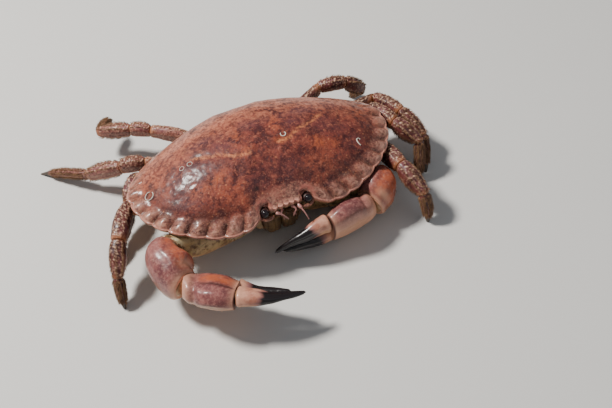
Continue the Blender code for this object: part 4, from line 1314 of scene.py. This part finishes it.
def buildLegHair(name, material, slotName, skins, plan, seed):
    roots, ways, bends, lengths, spots = legRoots(skins, np.random.default_rng(seed), plan)
    keep = roots[:, 2] > 1.2
    lengths = np.minimum(lengths, np.maximum(roots[:, 2] * 0.8, 0.4))
    kept = [v[keep] for v in (roots, ways, bends, lengths, spots)]
    buildHair(f"{name}_bristles", material, slotName, *kept)


def buildTufts(name, material, slotName, tufts, bend):
    # Tufts of roots, directions, lengths and places as one piece, all bent the same way
    roots, ways, lengths, spots = [np.concatenate(v) for v in zip(*tufts)]
    buildHair(name, material, slotName, roots, ways, np.tile(bend, (len(roots), 1)), lengths, spots)


def buildMouthHair(material, plates, rng):
    tufts = []
    for side, grid in enumerate(plates):
        sign = 1 if side == 0 else -1
        # Fringes down the inner and the outer edge of each plate, then a tuft at its upper end
        for column, lean, share in ((0, -sign * 0.5, 0.6), (head["plateFace"] - 1, sign * 0.6, 0.9)):
            count = hair["plateFringe"]
            row = rng.integers(4, len(grid) - 6, count)
            roots = grid[row, column] + rng.normal(0, 0.12, (count, 3))
            down = rng.uniform(-0.6, 0.1, count)
            ways = np.column_stack([np.full(count, lean), np.full(count, -0.9), down])
            lengths = hair["mouthLength"] * rng.uniform(0.5, 1.0, count) * share
            spots = np.column_stack([np.full(count, 0.1 + 0.3 * side + column / 300), row / len(grid) / 2])
            tufts.append((roots, ways, lengths, spots))
        count = hair["plateTuft"]
        row = rng.integers(len(grid) - 14, len(grid) - 2, count)
        column = rng.integers(4, 44, count)
        aside, up = rng.normal(0, 0.2, count), rng.uniform(-0.3, 0.4, count)
        ways = np.column_stack([aside, np.full(count, -1.0), up])
        lengths = hair["mouthLength"] * rng.uniform(0.5, 1.0, count)
        spots = np.column_stack([0.1 + 0.3 * side + column / 300, row / len(grid) / 2])
        tufts.append((grid[row, column], ways, lengths, spots))
    buildTufts("mouth_bristles", material, "mouthpart", tufts, (0.0, -0.3, -1.0))


def buildTailHair(material, tailRows, rng):
    tufts = []
    for sign in (-1, 1):
        count = hair["tailFringe"]
        k = rng.integers(12, len(tailRows) - 4, count)
        y, z, width, angle = tailRows[k].T
        low = np.maximum(z - 0.6 * np.cos(angle), 0.5)
        roots = np.column_stack([sign * width / 2 * 0.985, y + 0.5 * np.sin(angle), low])
        along, up = rng.normal(0, 0.25, count), rng.uniform(0.0, 0.25, count)
        ways = np.column_stack([np.full(count, sign), along, up])
        lengths = hair["tailLength"] * rng.uniform(0.5, 1.0, count)
        spots = np.column_stack([0.25 + 0.5 * (sign > 0) + rng.normal(0, 0.005, count), k / len(tailRows)])
        tufts.append((roots, ways, lengths, spots))
    buildTufts("tail_bristles", material, "belly", tufts, (0.0, -0.4, 0.1))


# Looks
def shellPaint():
    material, tone, place = newPaint("shell")
    warm, cool, dark, seam, sand, grain = tone.marks("warm cool dark seam sand grain")
    lobe, inset, under, brow, cheek, tooth = tone.marks("lobe inset under brow cheek tooth")
    broad = place.noise(75.0, 4.0)
    small = place.noise(230.0, 4.0, 0.68)
    push = place.noise(300.0, 2.0, 0.5, 1)
    mottle = place.moved(push, 0.004).noise(460.0)
    fine = place.noise(1200.0)
    pits = place.cells(700.0)
    patchy = ((small * 1.2 + broad + mottle * 0.6 - 1.06) * 2.4).held()
    # Colour of the pale rear, partly its own tone and partly painted sunlight
    rear = mottle.step(0.38, 0.64).mix((0.300, 0.085, 0.048), (0.640, 0.235, 0.130))
    near = (1.0 - inset / 10.0).held()
    rim = (1.0 - inset / 1.3).held() * (1.0 - under * 0.3)
    # Notches between the edge lobes get painted shade; the lobe crests get a paler tone, partly their own
    # and partly painted highlight
    notch = (near * (0.80 - lobe) * 2.0).held()
    crestTintAndHighlight = (near * (lobe - 0.55) * 2.2 * (1.0 - sand)).held()
    speck = (1.0 - pits * 2.0).held()
    fleck = (1.0 - place.moved(push, 0.002).cells(430.0) * 3.6).held()
    color = (broad * 0.5 + small * 0.5).step(0.40, 0.60).mix((0.060, 0.014, 0.014), (0.215, 0.048, 0.032))
    color = layered(
        color,
        # The large patches, the pale rear, partly its own tone and partly painted sunlight, the mottling,
        # the dark scars and the orange seams
        (cool * (small * 1.3 + 0.25), (0.085, 0.030, 0.038)),
        (warm * small.step(0.38, 0.62) * 0.85, (0.430, 0.100, 0.036)),
        (sand * patchy * (0.40 + fine * 0.6), rear),
        (mottle.step(0.54, 0.66) * 0.50, (0.360, 0.110, 0.066)),
        (mottle.step(0.44, 0.34) * (1.0 - sand * 0.3) * 0.65, (0.060, 0.022, 0.026)),
        (dark * small.step(0.28, 0.55), (0.034, 0.012, 0.012)),
        (seam * (0.10 + mottle.step(0.40, 0.60) * 0.7), (0.600, 0.210, 0.085)),
        # The edge with its lobes, their paler crests partly painted highlight and their notches darkened as
        # painted shade, the brows over the eyes and the front teeth, whose pale tips are partly painted
        # highlight
        (near * small.step(0.35, 0.60) * 0.50, (0.440, 0.190, 0.135)),
        (crestTintAndHighlight * mottle.step(0.36, 0.58) * 0.55, (0.640, 0.350, 0.265)),
        (notch * 0.60, (0.070, 0.030, 0.024)),
        (near * fine.step(0.52, 0.62) * 0.45, (0.280, 0.190, 0.100)),
        (brow * 0.6, (0.420, 0.120, 0.090)),
        (rim * 0.75, (0.560, 0.230, 0.170)),
        (grain * fine.step(0.42, 0.58) * 0.55, (0.460, 0.280, 0.190)),
        # Pale front tooth tips, partly painted highlight
        (tooth * fine.step(0.30, 0.55) * 0.9, (0.640, 0.310, 0.230)),
        # Flecks, a fine pale grain and dark specks in the pits
        (fleck * broad.step(0.46, 0.60) * mottle.step(0.40, 0.60) * 1.1, (0.560, 0.220, 0.100)),
        (fine.step(0.56, 0.72) * 0.30, (0.420, 0.200, 0.140)),
        (speck * fine.step(0.35, 0.6) * 0.45, (0.036, 0.014, 0.014)),
    )
    below = small.step(0.3, 0.7).mix((0.460, 0.270, 0.130), (0.600, 0.420, 0.240))
    # Painted shade on the front of the underside
    below = layered(below, (cheek * small.step(0.2, 0.5) * 0.9, (0.170, 0.075, 0.034)))
    color = under.step(0.35, 0.75).mix(color, below)
    height = fine * 0.5 + pits * 0.35 + small * 0.6 + mottle * 0.3
    roughness = 0.44 + fine * 0.20 - near * 0.14
    coat = (0.34 + near * 0.60) * small.step(0.2, 0.6)
    return finishPaint(material, color, roughness, height, 0.30, coat, 0.20, 0.16)


def legPaint():
    material, tone, place = newPaint("leg")
    broad = place.noise(90.0, 4.0)
    fine = place.noise(900.0)
    up = tone.facing()
    color = layered(
        broad.step(0.40, 0.60).mix((0.040, 0.010, 0.013), (0.130, 0.032, 0.024)),
        # A paler tone on chosen legs, partly their own grain and partly painted sunlight
        (tone.mark("pale") * fine.step(0.3, 0.6), (0.480, 0.190, 0.140)),
        (broad.step(0.5, 0.60) * up.step(-0.1, 0.7) * 0.5, (0.105, 0.036, 0.062)),
        (up.step(0.05, -0.65) * 0.80, (0.480, 0.220, 0.095)),
        (tone.mark("ends") * 0.70 * broad.step(0.30, 0.58), (0.480, 0.180, 0.070)),
        (fine.step(0.54, 0.66) * 0.40, (0.330, 0.160, 0.110)),
        (tone.mark("grain") * (fine + 0.45), (0.720, 0.460, 0.310)),
    )
    color = tone.mark("nail").step(0.5, 1.0).mix(color, (0.060, 0.045, 0.036))
    return finishPaint(material, color, 0.36 + fine * 0.25, fine * 0.6 + broad * 0.4, 0.18, 0.20, 0.22, 0.22)


def clawPaint(name, low, high, darker):
    # Base colours from low to high, and the strength of the dark mottling
    material, tone, place = newPaint(name)
    pale, ends, warm, grain, line, black = tone.marks("pale ends warm grain line black")
    broad = place.noise(60.0, 4.0)
    small = place.noise(260.0)
    fine = place.noise(900.0)
    mottle = place.noise(650.0)
    arm = small.step(0.35, 0.60).mix((0.160, 0.085, 0.036), (0.520, 0.350, 0.150))
    arm = layered(arm, (ends * small.step(0.40, 0.55) * 1.3, (0.780, 0.660, 0.390)))
    color = layered(
        (broad * 0.5 + small * 0.5).step(0.40, 0.60).mix(low, high),
        (mottle.step(0.50, 0.66) * 0.35, (0.430, 0.210, 0.170)),
        (mottle.step(0.46, 0.34) * darker, (0.120, 0.040, 0.045)),
        (pale * 0.95, arm),
        (tone.facing().step(0.15, -0.6) * 0.9, (0.600, 0.330, 0.160)),
        (warm * (small.step(0.30, 0.60) * 0.6 + 0.30), (0.420, 0.095, 0.040)),
        (ends * (1.0 - pale) * 0.80, (0.660, 0.330, 0.210)),
        (grain * 0.45, (0.520, 0.290, 0.220)),
        (fine.step(0.54, 0.70) * 0.25, (0.520, 0.270, 0.200)),
        # Painted shade in the palm groove and the finger hinge
        (line * 0.90, (0.060, 0.020, 0.018)),
        ((black * 2.5).held() * 0.80, (0.230, 0.100, 0.095)),
    )
    color = black.step(0.30, 0.90).mix(color, (0.011, 0.008, 0.009))
    roughness = black.step(0.3, 0.9) * -0.10 + 0.34 + fine * 0.18
    return finishPaint(material, color, roughness, fine * 0.5 + small * 0.7, 0.16, 0.35, 0.16, 0.25)


def bellyPaint():
    material, tone, place = newPaint("belly")
    fine = place.noise(700.0)
    color = layered(
        place.noise(80.0, 4.0).step(0.35, 0.65).mix((0.640, 0.470, 0.270), (0.700, 0.580, 0.380)),
        (tone.mark("seam") * 0.6, (0.400, 0.200, 0.090)),
        (fine.step(0.55, 0.75) * 0.3, (0.480, 0.280, 0.150)),
    )
    return finishPaint(material, color, 0.40 + fine * 0.2, fine, 0.12, 0.2, 0.25)


def mouthPaint():
    material, tone, place = newPaint("mouthpart")
    fine = place.noise(900.0)
    # Olive-brown plates, their own colour darkened further as painted shade under the front of the shell
    color = layered(
        place.noise(160.0, 4.0).step(0.35, 0.65).mix((0.110, 0.060, 0.024), (0.260, 0.150, 0.060)),
        (tone.mark("grain") * 0.6, (0.130, 0.046, 0.030)),
    )
    return finishPaint(material, color, 0.38 + fine * 0.2, fine, 0.14, 0.25, 0.25)


def plainPaint(name, low, high, roughness, scale=200.0, relief=0.12, coat=0.0, specular=0.5):
    material, _, place = newPaint(name)
    pattern = place.noise(scale, 4.0)
    color = pattern.step(0.3, 0.7).mix(low, high)
    return finishPaint(material, color, roughness, pattern, relief, coat, 0.1, specular)


paints = {
    "shell": shellPaint(),
    "leg": legPaint(),
    "claw": clawPaint("claw", (0.118, 0.034, 0.038), (0.260, 0.088, 0.080), 0.35),
    "finger": clawPaint("finger", (0.380, 0.140, 0.090), (0.600, 0.290, 0.200), 0.2),
    "belly": bellyPaint(),
    "mouthpart": mouthPaint(),
    "eye": plainPaint("eye", (0.006, 0.005, 0.007), (0.016, 0.010, 0.012), 0.10, 900.0, 0.01, 0.0, 0.45),
    # Near black: painted shade in the orbit round the eye
    "socket": plainPaint("socket", (0.012, 0.006, 0.006), (0.050, 0.018, 0.015), 0.45, 500.0, 0.10),
    "rim": plainPaint("orbit_rim", (0.080, 0.028, 0.022), (0.440, 0.170, 0.105), 0.42, 900.0, 0.30, 0.2),
    "feeler": plainPaint("feeler", (0.300, 0.100, 0.090), (0.600, 0.310, 0.270), 0.40, 500.0, 0.08, 0.2),
    "skin": plainPaint("joint_skin", (0.220, 0.110, 0.045), (0.480, 0.270, 0.120), 0.42, 300.0, 0.20, 0.3),
    "bristle": plainPaint("bristle", (0.150, 0.070, 0.035), (0.330, 0.170, 0.080), 0.55, 300.0, 0.02),
    "tube": plainPaint("worm_tube", (0.560, 0.500, 0.420), (0.760, 0.720, 0.640), 0.60, 400.0, 0.12),
}
print("materials made")


# Build
buildShell(paints["shell"])
buildTubes(paints["tube"])
print("shell built")
for number, (name, (kind, joints)) in enumerate(limbs.items()):
    skins = buildLeg(name, paints["leg"], paints["skin"], kind, joints)
    buildLegHair(name, paints["bristle"], "leg", skins, legHairPlan, hair["legSeed"] + number)
print("legs built")
for number, (name, values) in enumerate(claws.items()):
    skins = buildClaw(name, paints["claw"], paints["finger"], paints["skin"], *values)
    buildLegHair(name, paints["bristle"], "claw", skins, clawHairPlan, hair["clawSeed"] + number)
print("claws built")
buildBreast(paints["belly"])
tailRows = buildAbdomen(paints["belly"])
plates = []
for name, sign in (("left", 1.0), ("right", -1.0)):
    plates.append(buildMouthPlate(f"maxilliped_{name}", paints["mouthpart"], sign))
    buildEye(f"eye_{name}", paints["eye"], paints["socket"], paints["rim"], sign)
    buildFeeler(f"antenna_{name}", paints["feeler"], sign)
buildAntennules(paints["feeler"])
rng = np.random.default_rng(hair["bodySeed"])
buildMouthHair(paints["bristle"], plates, rng)
buildTailHair(paints["bristle"], tailRows, rng)
print("underside and head built")


# Stage
def buildFloor():
    half = 3.0
    corners = ((-half, -half, 0.0), (half, -half, 0.0), (half, half, 0.0), (-half, half, 0.0))
    mesh = bpy.data.meshes.new("floor")
    mesh.from_pydata(corners, [], [(0, 1, 2, 3)])
    mesh.materials.append(plainPaint("floor", (0.62, 0.61, 0.59), (0.64, 0.63, 0.61), 0.8, 2.0, 0.0))
    floor = bpy.data.objects.new("floor", mesh)
    bpy.context.scene.collection.objects.link(floor)


lights = {
    "key": {
        "way": (-0.465, 0.341, 0.817), "distance": 1.3, "size": 0.24, "power": 30.0,
        "tint": (1.0, 0.97, 0.92),
    },
    "fill": {
        "way": (0.5, -0.6, 0.6), "distance": 1.6, "size": 1.6, "power": 2.5,
        "tint": (0.93, 0.96, 1.0),
    },
}
sky = {"tint": (0.80, 0.84, 0.90), "strength": 0.26}
# The camera looks at a spot beside the mouth from in front and above, distances in millimetres
view = {
    "aim": (10.9, -47.2, 36.0), "azimuth": -20.11, "elevation": 50.0, "distance": 653.0, "roll": -4.46,
    "lens": 67.6, "sensor": 36.0, "clip": 0.01,
}
target = Vector(crabMiddle + np.array(view["aim"]) * mm)


def aimed(thing, place):
    thing.location = place
    thing.rotation_euler = (target - place).to_track_quat("-Z", "Y").to_euler()


def buildLight(name, way, distance, size, power, tint):
    lamp = bpy.data.lights.new(name, "AREA")
    lamp.shape = "DISK"
    lamp.size = size
    lamp.energy = power
    lamp.color = tint
    thing = bpy.data.objects.new(name, lamp)
    bpy.context.scene.collection.objects.link(thing)
    aimed(thing, target + Vector(way).normalized() * distance)


def buildCamera():
    camera = bpy.data.cameras.new("camera")
    camera.lens = view["lens"]
    camera.sensor_width = view["sensor"]
    camera.clip_start = view["clip"]
    thing = bpy.data.objects.new("camera", camera)
    bpy.context.scene.collection.objects.link(thing)
    turn, rise = math.radians(view["azimuth"]), math.radians(view["elevation"])
    way = Vector((math.sin(turn) * math.cos(rise), -math.cos(turn) * math.cos(rise), math.sin(rise)))
    aimed(thing, target + way * view["distance"] * mm)
    turned = thing.rotation_euler.to_matrix() @ Matrix.Rotation(math.radians(view["roll"]), 3, "Z")
    thing.rotation_euler = turned.to_euler()
    bpy.context.scene.camera = thing


buildFloor()
for name, values in lights.items():
    buildLight(name, **values)
world = bpy.data.worlds.new("world")
world.use_nodes = True
background = world.node_tree.nodes["Background"]
background.inputs["Color"].default_value = (*sky["tint"], 1.0)
background.inputs["Strength"].default_value = sky["strength"]
bpy.context.scene.world = world
buildCamera()
